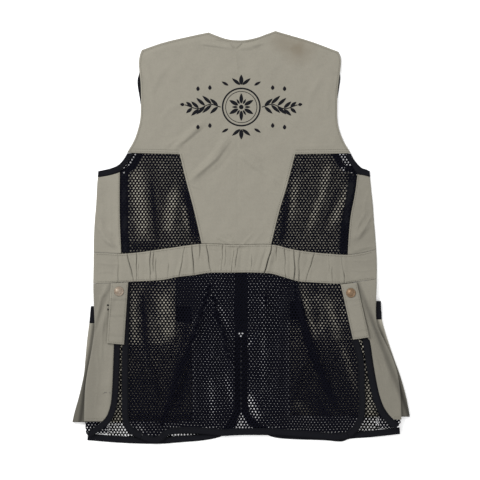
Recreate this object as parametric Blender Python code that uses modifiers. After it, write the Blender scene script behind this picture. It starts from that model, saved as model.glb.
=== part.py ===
"""Shooting vest, laid flat on its front with the back up.

Lengths in the tables are millimetres in the garment's own frame: +X to the viewer's right,
+Y towards the neck, +Z up from the surface that the vest lies on. `left` and `right` are the
sides at -X and +X. Every cloth piece is a grid of points on its middle surface, worked out
from its outline and from the layer that it lies on, and a Solidify modifier gives it its wall.
"""

import math

import bmesh
import bpy
import numpy as np

MM = 0.001

# Cloth, seams and the stack of layers
CLOTH = 1.0  # wall of the cotton and of the net
BINDING = 1.6  # folded tape, a little thicker than the cloth
BINDING_WIDTH = 11.0
HEM_TAPE = 12.2  # width of the tape round the pouch and round the fronts
SEAM = 0.3  # clear gap between pieces that are sewn together
HALF = CLOTH / 2
BACK_GAP = 3.8  # from the front's middle surface up to the back's
HIP_LINING_GAP = 2.0  # from the front up to the net under the hip panel
SHOULDER_DROP = 1.9  # the back comes down this far where it meets the front
INNER_POCKET_GAP = 1.8
SEAM_TAPE_GAP = 2.3
HIP_SPACE = 1.3  # room for the hip panel's own turn under the net
FACE_SPACE = 1.6  # room for the pocket's face under the front
BELLOWS_SPACE = 5.0  # room for the pocket's folded bellows under the hip
HIP_INSET = (BACK_GAP + HIP_SPACE - HIP_LINING_GAP) / 2  # from the side fold in to the net's
LEAF = 1.7  # from one bellows leaf to the next
SIDE_SEAM = 45.0  # from the side fold in to the side seam, on the underside

# Lines across the garment
WAIST_SEAM_Y = -53.0  # upper and lower fronts meet here, under the waistband
POCKET_TOP = {"left": -127.0, "right": -117.5}
POCKET_BAND = {"left": 31.0, "right": 33.5}  # height of the dark band round the mouth
POCKET_BOTTOM = {"left": -341.0, "right": -331.0}
POCKET_INNER_X = 90.0
HIP_BOTTOM = {"left": -339.0, "right": -335.5}
FRONT_EDGE_X = 12.0  # the front panels' centre edges
ZIP_TOP_Y = 185.0
ZIP_BOTTOM_Y = -185.0
ZIP_CHAIN = 5.0  # width of the closed chain
SLIDER_LIFT = 1.2  # the tape rises over the slider's lower plate

# The fold down each side: height, left x, right x
SIDE_FOLD = (
    (124.0, -263.0, 237.0),
    (97.0, -265.5, 239.6),
    (62.0, -267.3, 243.3),
    (28.7, -270.1, 245.7),
    (-4.6, -271.6, 248.5),
    (-45.0, -272.0, 250.7),
    (-84.0, -272.3, 250.3),
    (-112.0, -271.5, 249.0),
    (-138.0, -270.4, 248.4),
    (-158.0, -269.8, 250.2),
    (-174.0, -270.5, 256.0),
    (-192.0, -272.8, 264.8),
    (-210.0, -275.6, 273.6),
    (-228.0, -279.1, 281.0),
    (-246.0, -282.6, 286.8),
    (-268.0, -286.0, 291.0),
    (-293.0, -287.9, 293.8),
    (-340.0, -288.8, 295.8),
    (-376.0, -286.0, 297.0),
)

# The outer fold of each pocket's bellows: height, left x, right x
BELLOWS_FOLD = (
    (-115.0, -275.8, 257.8),
    (-140.0, -278.0, 259.2),
    (-158.0, -279.8, 261.2),
    (-190.0, -283.8, 270.8),
    (-227.0, -287.2, 283.4),
    (-254.0, -289.9, 293.2),
    (-291.0, -298.0, 303.8),
    (-323.0, -307.0, 310.2),
    (-341.0, -311.0, 312.4),
)

# Outlines, each a list of (x, y)
NECK_AND_SHOULDERS = (
    (-183.2, 346.8), (-142.5, 360.6), (-94.4, 371.9), (-59.8, 379.2),
    (-42.6, 372.0), (-25.9, 366.6), (-9.2, 364.4), (9.2, 365.0), (29.6, 369.4), (46.2, 375.4),
    (63.5, 381.8), (94.4, 372.8), (131.3, 361.7), (180.0, 343.6),
)
NECK_CORNERS = (3, 10)
BACK_ARMHOLE_LEFT = (
    (-183.2, 346.8), (-187.0, 336.0), (-188.6, 322.0), (-187.4, 304.0), (-185.4, 281.5),
    (-184.8, 250.0), (-186.0, 220.0), (-189.9, 201.0), (-197.2, 180.0), (-210.3, 156.4),
)
BACK_ARMHOLE_RIGHT = (
    (180.0, 343.6), (183.9, 334.0), (184.7, 322.0), (182.9, 305.0), (180.4, 286.0),
    (178.0, 256.0), (178.2, 219.0), (182.2, 197.0), (191.0, 175.5), (203.0, 155.6),
)
YOKE_HEM = ((-210.3, 156.4), (-113.4, 154.0), (100.2, 154.0), (203.0, 155.6))
TAPER_LEFT = ((-113.4, 154.0), (-101.8, 106.4), (-87.0, 50.9), (-72.7, -11.7))
TAPER_RIGHT = ((100.2, 154.0), (85.1, 97.1), (70.3, 47.2), (55.5, -12.9))
WAISTBAND_TOP = (
    (-273.0, -28.2), (-247.9, -28.8), (-221.1, -30.3), (-183.2, -26.8), (-131.3, -19.4),
    (-72.7, -12.0), (-9.2, -13.6), (55.5, -13.2), (90.7, -21.0), (120.2, -25.9), (155.4, -29.6),
    (196.8, -32.0), (223.9, -28.7), (251.0, -22.2),
)
WAISTBAND_BOTTOM = (
    (-273.0, -85.1), (-242.4, -84.2), (-207.4, -81.8), (-148.0, -78.6), (-118.4, -73.1),
    (-86.0, -69.4), (-58.6, -65.2), (-20.4, -64.8), (16.7, -64.6), (53.7, -66.4), (78.8, -73.1),
    (103.6, -80.2), (127.7, -82.7), (187.8, -85.3), (214.6, -81.4), (251.0, -76.4),
)
# Inner edge of the lower armhole binding, and the inset's outer edge below it
INSET_OUTER_LEFT = (
    (-198.0, 155.8), (-206.8, 141.2), (-214.9, 130.4), (-223.6, 121.5), (-223.9, 80.0),
    (-223.5, 30.0), (-220.9, -30.0),
)
INSET_OUTER_RIGHT = (
    (193.2, 154.8), (199.4, 141.6), (206.4, 129.6), (215.0, 117.4), (209.1, 76.0), (202.6, 41.6),
    (198.9, 4.6), (196.8, -31.7),
)
INSET_CORNER = (3,)
# Lower armhole binding on the back, from the yoke to the side fold: outer and inner edges
LOW_ARMHOLE_LEFT = {
    "outer": ((-209.8, 155.8), (-217.6, 143.2), (-226.6, 134.0), (-239.0, 128.2), (-255.5, 124.2),
              (-264.0, 122.8)),
    "inner": ((-198.6, 155.5), (-207.4, 141.5), (-215.4, 130.8), (-224.0, 122.0), (-234.0, 118.0),
              (-248.0, 114.4), (-264.0, 111.8)),
}
LOW_ARMHOLE_RIGHT = {
    "outer": ((202.5, 155.0), (210.6, 141.2), (221.9, 129.4), (230.0, 126.2), (238.0, 123.4)),
    "inner": ((193.8, 154.8), (200.0, 141.9), (207.0, 130.0), (215.5, 118.0), (226.0, 115.6),
              (238.0, 112.4)),
}
# How much higher these two run at the side seam than at the fold, on the underside
SEAM_RISE = {-1: 3.2, 1: 10.5}
# Outer edge of the front armhole's binding, from the shoulder down to the side seam
FRONT_ARMHOLE_LEFT = (
    (-183.2, 346.0), (-186.6, 325.0), (-187.8, 306.0), (-191.3, 291.0), (-190.4, 276.0),
    (-186.6, 254.0), (-183.6, 230.0), (-183.6, 200.0), (-187.2, 174.0), (-194.4, 153.0),
    (-201.8, 139.5), (-209.0, 131.6), (-217.6, 126.0),
)
FRONT_ARMHOLE_RIGHT = (
    (180.0, 342.8), (182.6, 325.0), (182.6, 306.0), (183.6, 293.0), (180.6, 272.0),
    (176.8, 246.0), (174.6, 217.4), (174.6, 190.0), (177.6, 167.0), (182.6, 149.4),
    (187.4, 139.4), (191.6, 133.3),
)
FRONT_NECK = ((-59.8, 377.5), (-45.0, 300.0), (-FRONT_EDGE_X, ZIP_TOP_Y))
HIP_TAPE = {"left": 11.0, "right": 13.0}
HIP_EDGE_LEFT = (
    (-219.9, -84.0), (-221.4, -134.0), (-222.8, -199.0), (-224.4, -245.0), (-225.6, -273.0),
    (-227.8, -302.0), (-231.7, -320.6), (-238.1, -335.7), (-248.4, -347.6), (-260.6, -356.4),
    (-271.0, -363.4), (-279.0, -369.4),
)
HIP_EDGE_RIGHT = (
    (202.8, -84.5), (209.6, -122.0), (216.4, -155.0), (223.8, -189.0), (231.5, -240.0),
    (238.0, -275.8), (244.0, -300.0), (251.6, -319.0), (262.0, -334.6), (274.0, -346.5),
    (284.0, -354.0),
)
POUCH_EDGE = (
    (-216.2, -84.5), (-217.9, -143.4), (-219.1, -198.9), (-219.8, -245.1), (-219.8, -301.7),
    (-219.8, -327.3), (-217.0, -344.3), (-210.5, -356.5), (-198.0, -366.5), (-178.0, -375.5),
    (-157.0, -380.4), (-145.0, -375.0), (-130.0, -364.5), (-100.0, -361.8), (-60.0, -364.0),
    (-35.0, -366.5), (-1.9, -365.0), (46.2, -365.0), (80.0, -366.0), (115.0, -369.0),
    (153.0, -372.0), (180.0, -374.0), (200.0, -369.5), (214.0, -358.8), (222.0, -347.0),
    (227.5, -332.0), (229.9, -301.7), (228.5, -273.0), (228.3, -245.1), (224.8, -217.4),
    (217.0, -187.8), (205.3, -134.1), (196.0, -86.0),
)
POUCH_CORNERS_AT = (0.305, 0.700)  # shares of the edge where its side bindings meet the hem's
FRONT_EDGE_LEFT = (
    (-0.7, ZIP_BOTTOM_Y - SEAM), (-0.9, -230.0), (-0.9, -300.0), (-2.0, -326.0), (-13.9, -351.5),
    (-35.0, -367.0), (-66.6, -374.6), (-112.9, -378.8), (-155.4, -381.6), (-222.0, -379.6),
    (-284.0, -374.6),
)
FRONT_EDGE_RIGHT = (
    (0.7, ZIP_BOTTOM_Y - SEAM), (0.9, -230.0), (0.9, -300.0), (3.5, -326.0), (21.3, -351.5),
    (46.2, -364.0), (66.4, -370.4), (103.6, -373.2), (153.0, -374.8), (185.0, -377.2),
    (202.6, -372.0), (240.0, -369.0), (294.0, -362.6),
)
INNER_POCKET_LEFT = ((-212.0, -58.0), (-121.0, -58.0), (-121.0, -197.5), (-212.0, -198.9))
INNER_POCKET_RIGHT = ((98.0, -58.0), (204.0, -58.0), (218.0, -189.6), (131.3, -189.6))
TAB_LEFT = ((-239.6, -86.0), (-208.1, -84.0), (-215.5, -197.0), (-247.0, -194.2))
TAB_RIGHT = ((184.1, -88.0), (213.7, -84.2), (235.9, -183.2), (206.3, -187.8))
TAB_RISE = (2.4, 4.2)  # the strap's two layers above the back
SNAPS = ((-224.6, -99.0), (202.2, -101.8))
SNAP_PROFILE = ((0, 0), (8.0, 0), (8.7, 0.4), (8.7, 1.0), (7.6, 1.9), (5.2, 2.6), (2.6, 2.9), (0, 3.0))

# Gathers in the waistband's elastic: x at its top edge and at its bottom edge
GATHERS = (
    (-228, -226), (-211, -196), (-197, -203), (-176, -170), (-166, -152), (-135, -133),
    (-107, -121), (-95, -88), (-74, -62), (-57, -55), (-34, -42), (-17, -20), (2, -3),
    (18, 12), (37, 22), (55, 40), (64, 60), (80, 78), (91, 90), (98, 101), (108, 107),
    (122, 128), (136, 122), (158, 160), (182, 184), (196, 198),
)
PUFF = 2.2  # most that the cloth stands up between two gathers

# Largest folds: start, middle, end, half width, height
FOLDS = (
    # Pouch
    ((-54, -84), (-98, -210), (-146, -345), 17, 7.5),
    ((-56, -99), (-19, -227), (-9, -337), 15, 6.0),
    ((-174, -90), (-177, -150), (-176, -200), 10, 3.0),
    ((-181, -205), (-166, -250), (-150, -310), 13, 4.0),
    ((51, -88), (34, -178), (8, -215), 14, 6.0),
    ((97, -90), (123, -190), (165, -296), 15, 6.5),
    ((77, -100), (72, -200), (60, -320), 14, 4.5),
    ((128, -205), (108, -255), (90, -310), 14, 4.0),
    ((183, -200), (196, -250), (205, -310), 11, 3.0),
    ((-148, -318), (-149, -350), (-149, -378), 11, 4.0),
    # Net insets
    ((-170, 142), (-149, 62), (-152, -18), 13, 4.5),
    ((-107, 100), (-124, 74), (-141, 45), 11, 3.5),
    ((174, 127), (142, 65), (109, 0), 13, 4.5),
    ((194, 92), (180, 68), (160, 35), 10, 3.0),
    ((89, 110), (84, 70), (80, 30), 11, 3.0),
    # Back panel
    ((-70, 212), (-98, 187), (-126, 162), 9, 3.5),
    ((-22, 190), (-50, 148), (-97, 102), 11, 4.0),
    ((-5, 157), (17, 141), (42, 122), 10, 2.6),
    ((-11, 352), (-42, 352), (-78, 359), 8, 1.8),
    ((-7, 350), (16, 352), (40, 361), 8, 1.8),
    # Side strips and hips
    ((-264, 32), (-250, 4), (-236, -20), 9, 2.6),
    ((243, 30), (225, 14), (205, -6), 10, 3.2),
    ((-231, -92), (-247, -135), (-264, -182), 10, 2.4),
    ((224, -98), (262, -205), (278, -300), 11, 4.4),
)

COLOURS = {
    "khaki_cotton": ((0.33, 0.31, 0.255, 1.0), 0.92, 0.0),
    "black_net": ((0.012, 0.012, 0.015, 1.0), 0.75, 0.0),
    "black_tape": ((0.014, 0.014, 0.018, 1.0), 0.85, 0.0),
    "snap_brass": ((0.35, 0.20, 0.11, 1.0), 0.35, 1.0),
    "zip_metal": ((0.72, 0.72, 0.74, 1.0), 0.3, 1.0),
}


# Curves in the plane

def ease(value, start, end):
    """0 at start and before it, 1 at end and after it, smooth between."""
    t = np.clip((value - start) / (end - start), 0.0, 1.0)
    return t * t * (3.0 - 2.0 * t)


def rounded(points, corners=(), steps=8):
    """A smooth curve through the points, which keeps the numbered ones sharp."""
    points = np.array(points, float)
    breaks = [0, *corners, len(points) - 1]
    curve = [points[0]]
    for first, last in zip(breaks[:-1], breaks[1:]):
        run = points[first:last + 1]
        if len(run) == 2:
            curve.append(run[1])
            continue
        run = np.vstack([2 * run[0] - run[1], run, 2 * run[-1] - run[-2]])
        for a, b, c, d in zip(run[:-3], run[1:-2], run[2:-1], run[3:]):
            for t in np.linspace(0, 1, steps + 1)[1:]:
                curve.append(0.5 * (2 * b + (c - a) * t + (2 * a - 5 * b + 4 * c - d) * t**2
                                    + (3 * b - a - 3 * c + d) * t**3))
    return np.array(curve)


def shares(curve):
    """How far along the curve each of its points lies, from 0 to 1."""
    lengths = np.concatenate([[0], np.cumsum(np.hypot(*np.diff(curve, axis=0).T))])
    return lengths / lengths[-1]


def at(curve, share):
    """The curve's points at these shares of its length."""
    along = shares(curve)
    return np.stack([np.interp(share, along, curve[:, 0]), np.interp(share, along, curve[:, 1])], -1)


def share_of(curve, point):
    """The share at which the curve passes nearest the point."""
    return shares(curve)[np.argmin(np.hypot(*(curve - np.array(point)).T))]


def paced(curve, keys, counts):
    """Shares along the curve, closer together where it bends. They pass through the keys."""
    along = shares(curve)
    tangent = np.diff(curve, axis=0)
    heading = np.unwrap(np.arctan2(tangent[:, 1], tangent[:, 0]))
    bend = np.abs(np.gradient(heading)) if len(heading) > 2 else np.zeros(len(heading))
    found = [keys[0]]
    for a, b, count in zip(keys[:-1], keys[1:], counts):
        fine = np.linspace(a, b, 200)
        middle = (fine[:-1] + fine[1:]) / 2
        which = np.clip(np.searchsorted(along, middle) - 1, 0, len(bend) - 1)
        weight = bend[which] / np.maximum(np.diff(along)[which], 1e-9)
        mean = weight.mean()
        weight = 0.6 + np.minimum(weight / mean, 5.0) if mean * (b - a) > 0.05 else 1.0 + 0 * weight
        passed = np.concatenate([[0], np.cumsum(weight)])
        found += list(np.interp(np.linspace(0, passed[-1], count + 1)[1:], passed, fine))
    return np.array(found)


def part_of(curve, start, end, count=24):
    return at(curve, np.linspace(start, end, count))


def moved_left(curve, distance):
    """The curve moved to the left of the way that it runs."""
    tangent = np.gradient(curve, axis=0)
    tangent /= np.maximum(np.hypot(*tangent.T), 1e-9)[:, None]
    return curve + distance * np.stack([-tangent[:, 1], tangent[:, 0]], -1)


def coons(edges, places):
    """A grid in the plane, blended between the top, bottom, left and right edges.
    Left and right run down from the top. places holds the shares to use on each edge."""
    top, bottom, left, right = (at(edge, place) for edge, place in zip(edges, places))
    s = ((places[0] + places[1]) / 2)[None, :, None]
    t = ((places[2] + places[3]) / 2)[:, None, None]
    across = (1 - t) * top[None] + t * bottom[None]
    down = (1 - s) * left[:, None] + s * right[:, None]
    corners = ((1 - s) * (1 - t) * top[0] + s * (1 - t) * top[-1]
               + (1 - s) * t * bottom[0] + s * t * bottom[-1])
    return across + down - corners


def even(count):
    return np.linspace(0, 1, count + 1)


def height_table(table):
    """From a table of (y, left x, right x): smooth curves that give x at a height, for each side."""
    curves = {}
    for side, column in ((-1, 1), (1, 2)):
        curve = rounded([(row[0], row[column]) for row in table])[::-1]
        curves[side] = curve
    return curves


FOLD_CURVES = height_table(SIDE_FOLD)
BELLOWS_CURVES = height_table(BELLOWS_FOLD)
SHOULDER_LINE = rounded(NECK_AND_SHOULDERS, NECK_CORNERS)
BAND_TOP = rounded(WAISTBAND_TOP)
BAND_BOTTOM = rounded(WAISTBAND_BOTTOM)


def side_fold(side, y):
    return np.interp(y, FOLD_CURVES[side][:, 0], FOLD_CURVES[side][:, 1])


def bellows_fold(side, y):
    return np.interp(y, BELLOWS_CURVES[side][:, 0], BELLOWS_CURVES[side][:, 1])


def band_top_y(x):
    return np.interp(x, BAND_TOP[:, 0], BAND_TOP[:, 1])


def band_bottom_y(x):
    return np.interp(x, BAND_BOTTOM[:, 0], BAND_BOTTOM[:, 1])


# Heights of the layers

def inward(x, y):
    """Distance in from the nearer side fold."""
    return np.minimum(x - side_fold(-1, y), side_fold(1, y) - x)


def front_level(x, y):
    """Middle surface of the front, which lies on the floor and on the pockets."""
    within = inward(x, y)
    over_hip = ease(y, -52, -84) * ease(y, -378, -346) * ease(within, 72, 40)
    over_face = ease(np.abs(x), POCKET_INNER_X - 24, POCKET_INNER_X - 5)
    over_bellows = ease(within, 92, 34)
    over_pocket = ease(y, -56, -118) * ease(y, -378, -345)
    over_slider = ease(np.hypot(x, y - ZIP_TOP_Y), 44, 16)
    return (HALF + HIP_SPACE * over_hip + SLIDER_LIFT * over_slider
            + over_pocket * (FACE_SPACE * over_face + BELLOWS_SPACE * over_bellows))


def ridge(x, y, start, middle, end, half_width, height):
    """One fold: a rounded ridge along a bent line, fading out at both ends."""
    found = np.zeros(np.broadcast(x, y).shape)
    for (ax, ay), (bx, by), share in ((start, middle, 0.0), (middle, end, 0.5)):
        dx, dy = bx - ax, by - ay
        t = np.clip(((x - ax) * dx + (y - ay) * dy) / (dx * dx + dy * dy), 0, 1)
        away = np.hypot(x - ax - t * dx, y - ay - t * dy)
        along = share + t / 2
        fade = ease(along, -0.06, 0.3) * ease(along, 1.06, 0.75)
        found = np.maximum(found, fade * np.cos(np.pi / 2 * np.clip(away / half_width, 0, 1)) ** 2)
    return height * found


def folds(x, y):
    """The largest folds, which run out just before the side folds."""
    found = np.sqrt(sum(ridge(x, y, *row) ** 2 for row in FOLDS))
    return found * ease(inward(x, y), 2.5, 13.0)


def back_level(x, y):
    """Middle surface of the back, with its largest folds. It comes down to the shoulder seams."""
    shoulder = np.interp(x, SHOULDER_LINE[:, 0], SHOULDER_LINE[:, 1]) - y
    at_seam = ease(shoulder, 14, 1) * ease(np.abs(x), 46, 60)
    return front_level(x, y) + BACK_GAP - SHOULDER_DROP * at_seam + folds(x, y)


def on(level, rise=0.0):
    """Lifts a plane grid onto a layer."""
    def lift(grid):
        x, y = grid[..., 0], grid[..., 1]
        return np.stack([x, y, level(x, y) + rise], -1)
    return lift


def wrapped(side, top_level, under_level, inset=0.0):
    """Lifts a grid of (distance in from the fold, y) round a fold, inset from the side fold.
    A distance is positive on the upper side and negative on the underside."""
    def lift(grid):
        w, y = grid[..., 0], grid[..., 1]
        fold = side_fold(side, y) - side * inset
        x = fold - side * np.abs(w)
        high, low = top_level(x, y), under_level(x, y)
        rim_x = fold - side * 2.0
        rim_high, rim_low = top_level(rim_x, y), under_level(rim_x, y)
        radius = (rim_high - rim_low) / 2
        angle = np.clip(w / radius, -1, 1) * np.pi / 2
        turned_x = fold - side * radius * (1 - np.cos(angle))
        turned_z = (rim_high + rim_low) / 2 + radius * np.sin(angle)
        flat = np.abs(w) >= radius
        return np.stack([np.where(flat, x, turned_x), y,
                         np.where(flat, np.where(w > 0, high, low), turned_z)], -1)
    return lift


def wrap_grid(under, over, radius, top_y, bottom_y, columns, rows):
    """A grid of (w, y) from the underside round the fold to the upper side.
    under and over give how far in it reaches at a height, top_y and bottom_y its ends at a w."""
    below, above = columns
    turn = list(np.array([-1, -0.62, -0.2, 0.2, 0.62, 1]) * radius)
    grid = []
    for t in rows:
        row = []
        for k in range(below + above + len(turn)):
            y = (top_y(0) + bottom_y(0)) / 2
            for _ in range(4):
                if k < below:
                    share = 1 - k / below
                    w = -radius - share * (under(y) - radius)
                elif k < below + len(turn):
                    w = turn[k - below]
                else:
                    share = (k - below - len(turn) + 1) / above
                    w = radius + share * (over(y) - radius)
                y = (1 - t) * top_y(w) + t * bottom_y(w)
            row.append((w, y))
        grid.append(row)
    return np.array(grid)


# Objects

def clear_scene():
    for obj in list(bpy.data.objects):
        bpy.data.objects.remove(obj)


def make_materials():
    made = {}
    for name, (colour, roughness, metallic) in COLOURS.items():
        material = bpy.data.materials.new(name)
        material.use_nodes = True
        shader = material.node_tree.nodes["Principled BSDF"]
        shader.inputs["Base Color"].default_value = colour
        shader.inputs["Roughness"].default_value = roughness
        shader.inputs["Metallic"].default_value = metallic
        material.diffuse_color = colour
        made[name] = material
    return made


def add_object(name, mesh, material):
    mesh.materials.append(MATERIALS[material])
    obj = bpy.data.objects.new(name, mesh)
    VEST.objects.link(obj)
    return obj


def cloth(name, grids, material, thickness=CLOTH):
    """One piece of cloth: its grids of middle points in millimetres, joined and given a wall."""
    bm = bmesh.new()
    for grid in grids:
        rows, columns = grid.shape[:2]
        verts = [[bm.verts.new(point * MM) for point in row] for row in grid]
        for i in range(rows - 1):
            for j in range(columns - 1):
                bm.faces.new((verts[i][j], verts[i + 1][j], verts[i + 1][j + 1], verts[i][j + 1]))
    bmesh.ops.remove_doubles(bm, verts=bm.verts, dist=0.02 * MM)
    bmesh.ops.recalc_face_normals(bm, faces=bm.faces)
    mesh = bpy.data.meshes.new(name)
    bm.to_mesh(mesh)
    bm.free()
    mesh.shade_smooth()
    obj = add_object(name, mesh, material)
    wall = obj.modifiers.new("wall", "SOLIDIFY")
    wall.thickness = thickness * MM
    wall.offset = 0.0
    wall.use_even_offset = True
    wall.use_quality_normals = True
    return obj


def strip(name, edge, width, material, lift, steps, thickness=BINDING, start=0.0, end=1.0):
    """A tape between a curve and the same curve moved to its left."""
    along = shares(edge)
    inner = moved_left(edge, width)
    place = paced(edge, (start, end), (steps,))
    sides = [np.stack([np.interp(place, along, curve[:, 0]), np.interp(place, along, curve[:, 1])],
                      -1) for curve in (edge, inner)]
    return cloth(name, [lift(np.stack(sides, 1))], material, thickness)


# Back

def back_panel():
    """Yoke and the tapering centre below it, cut as one piece."""
    top = rounded(NECK_AND_SHOULDERS, NECK_CORNERS)
    hem = np.array(YOKE_HEM)
    a, b = (share_of(hem, YOKE_HEM[i]) for i in (1, 2))
    c, d = (share_of(top, NECK_AND_SHOULDERS[i]) for i in NECK_CORNERS)
    counts = (4, 3, 7, 3, 4)
    sides = rounded(BACK_ARMHOLE_LEFT), rounded(BACK_ARMHOLE_RIGHT)
    yoke = coons(
        (top, hem, *sides),
        (paced(top, (0, 0.62 * c, c, d, d + 0.38 * (1 - d), 1), counts),
         paced(hem, (0, a, a + 0.22 * (b - a), a + 0.78 * (b - a), b, 1), counts),
         *(paced(side, (0, 1), (11,)) for side in sides)),
    )
    shared = yoke[-1, counts[0]:sum(counts[:4]) + 1]
    x = np.linspace(TAPER_LEFT[-1][0], TAPER_RIGHT[-1][0], 25)
    waist = np.stack([x, band_top_y(x) + SEAM], -1)
    taper = coons((shared, waist, rounded(TAPER_LEFT), rounded(TAPER_RIGHT)),
                  (shares(shared), shares(shared), even(8), even(8)))
    lift = on(back_level)
    cloth("back_panel", [lift(yoke), lift(taper)], "khaki_cotton")


def insets():
    """Net panels between the yoke, the tapering centre, the side strips and the waistband."""
    for name, side, outer, taper in (
        ("inset_left", -1, INSET_OUTER_LEFT, TAPER_LEFT),
        ("inset_right", 1, INSET_OUTER_RIGHT, TAPER_RIGHT),
    ):
        hem = np.array(YOKE_HEM)
        outer_edge = rounded(outer, INSET_CORNER)
        inner_edge = rounded(taper) + np.array([side * SEAM * 1.5, 0])
        xs = np.linspace(outer_edge[0][0], inner_edge[0][0], 12)
        top = np.stack([xs, np.interp(xs, hem[:, 0], hem[:, 1]) - SEAM * 1.3], -1)
        xs = np.linspace(outer_edge[-1][0], inner_edge[-1][0], 24)
        bottom = np.stack([xs, band_top_y(xs) + SEAM * 1.8], -1)
        outer_edge[0], inner_edge[0] = top[0], top[-1]
        outer_edge[-1], inner_edge[-1] = bottom[0], bottom[-1]
        corner = share_of(outer_edge, outer[3])
        grid = coons((top, bottom, outer_edge, inner_edge),
                     (even(10), even(10), paced(outer_edge, (0, corner, 1), (5, 8)),
                      paced(inner_edge, (0, 0.25, 1), (5, 8))))
        cloth(name, [on(back_level)(grid)], "black_net")


def seam_tapes():
    """Taped seam allowance that lies under each net panel's outer edge."""
    for name, side, points in (
        ("seam_tape_left", -1, INSET_OUTER_LEFT[3:]),
        ("seam_tape_right", 1, INSET_OUTER_RIGHT[3:]),
    ):
        edge = rounded(points) - np.array([side * 0.6, 0.0])
        strip(name, edge, -side * 14.0, "black_tape", on(front_level, SEAM_TAPE_GAP), 8, CLOTH,
              0.02, 0.985)


def gather_height(x, y):
    """How far the cloth puffs up between the waistband's gathers at a point."""
    down = np.clip((band_top_y(x) - y) / (band_top_y(x) - band_bottom_y(x)), -0.5, 1.5)
    lines = list(zip(sorted(a for a, _ in GATHERS), sorted(b for _, b in GATHERS)))
    found = np.zeros_like(x)
    for start, end in zip(lines[:-1], lines[1:]):
        a = start[0] * (1 - down) + start[1] * down
        b = end[0] * (1 - down) + end[1] * down
        u = np.clip((x - a) / np.maximum(b - a, 1.0), 0, 1)
        puff = PUFF * np.clip((b - a) / 20.0, 0.35, 1.0)
        found = np.maximum(found, puff * np.sin(np.pi * u) ** 0.8)
    return found


def waistband():
    """Gathered across the back, flat at the sides, and turned round each side fold."""
    grids = []
    flat_part = 14.0
    rows = even(3)
    radius = BACK_GAP / 2
    for side in (-1, 1):
        lift = wrapped(side, back_level, front_level)

        def top_y(w, side=side):
            x = side_fold(side, -25.0) - side * abs(w)
            return band_top_y(x)

        def bottom_y(w, side=side):
            x = side_fold(side, -82.0) - side * abs(w)
            return band_bottom_y(x)

        grid = wrap_grid(lambda y: SIDE_SEAM, lambda y: flat_part, radius, top_y, bottom_y,
                         (3, 1), rows)
        grids.append(lift(grid))
    left, right = grids[0][:, -1, :2], grids[1][:, -1, :2]
    lines = sorted(GATHERS)
    tops = [left[0][0], -250.0, *[a for a, _ in lines], 215.0, right[0][0]]
    bottoms = [left[-1][0], -248.0, *[b for _, b in lines], 217.0, right[-1][0]]
    bottoms = sorted(bottoms)
    shares_between = (0.0, 0.3, 0.7)
    top_x = [a + (b - a) * u for a, b in zip(tops[:-1], tops[1:]) for u in shares_between]
    bottom_x = [a + (b - a) * u for a, b in zip(bottoms[:-1], bottoms[1:]) for u in shares_between]
    top_x, bottom_x = np.array([*top_x, tops[-1]]), np.array([*bottom_x, bottoms[-1]])
    top = np.stack([top_x, band_top_y(top_x)], -1)
    bottom = np.stack([bottom_x, band_bottom_y(bottom_x)], -1)
    middle = (1 - rows)[:, None, None] * top[None] + rows[:, None, None] * bottom[None]
    middle[:, 0], middle[:, -1] = left, right
    x, y = middle[..., 0], middle[..., 1]
    z = back_level(x, y) + gather_height(x, y)
    z[:, 0], z[:, -1] = grids[0][:, -1, 2], grids[1][:, -1, 2]
    cloth("waistband", [grids[0], np.stack([x, y, z], -1), grids[1]], "khaki_cotton")


def pouch():
    """Bloused net pouch over the lower back, and the tape that binds its edge."""
    edge = rounded(POUCH_EDGE)
    inner = moved_left(edge, HEM_TAPE + SEAM)
    corner_left, corner_right = POUCH_CORNERS_AT
    cuts = [int(np.argmin(np.abs(shares(edge) - share))) for share in POUCH_CORNERS_AT]
    left, bottom, right = inner[:cuts[0] + 1], inner[cuts[0]:cuts[1] + 1], inner[cuts[1]:][::-1]
    xs = np.linspace(left[0][0], right[0][0], 60)
    top = np.stack([xs, band_bottom_y(xs) - SEAM * 1.6], -1)
    grid = coons((top, bottom, left, right),
                 (even(32), paced(bottom, (0, 1), (32,)),
                  paced(left, (0, 1), (12,)), paced(right, (0, 1), (12,))))
    cloth("pouch", [on(back_level)(grid)], "black_net")
    lift = on(back_level, (BINDING - CLOTH) / 2)
    gap = 0.0003
    for name, start, end, steps in (
        ("pouch_binding_left", 0.0, corner_left - gap, 16),
        ("pouch_hem", corner_left + gap, corner_right - gap, 34),
        ("pouch_binding_right", corner_right + gap, 1.0, 16),
    ):
        strip(name, edge, HEM_TAPE, "black_tape", lift, steps, BINDING, start, end)


# Sides

def side_strips():
    """Cotton strips that turn round each side fold, from the side seam to the net panel."""
    for name, side, low in (("side_left", -1, LOW_ARMHOLE_LEFT), ("side_right", 1, LOW_ARMHOLE_RIGHT)):
        inner = rounded(low["inner"])
        net = rounded((INSET_OUTER_LEFT if side < 0 else INSET_OUTER_RIGHT)[3:])

        def over(y):
            edge = np.interp(y, net[::-1, 1], net[::-1, 0]) + side * SEAM * 1.4
            return side * (side_fold(side, y) - edge)

        order = np.argsort(inner[:, 0])

        def top_y(w):
            if w < 0:
                return 111.3 + seam_rise(side, w)
            x = side_fold(side, 112.0) - side * w
            return np.interp(x, inner[order, 0], inner[order, 1]) - SEAM * 1.8

        def bottom_y(w):
            return band_top_y(side_fold(side, -25.0) - side * abs(w)) + SEAM

        grid = wrap_grid(lambda y: SIDE_SEAM, over, BACK_GAP / 2, top_y, bottom_y,
                         (3, 6), even(10))
        cloth(name, [wrapped(side, back_level, front_level)(grid)], "khaki_cotton")


def seam_rise(side, w):
    """How far the pieces at the low armhole climb towards the side seam, on the underside."""
    return SEAM_RISE[side] * ease(-w, 6.0, SIDE_SEAM)


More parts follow.
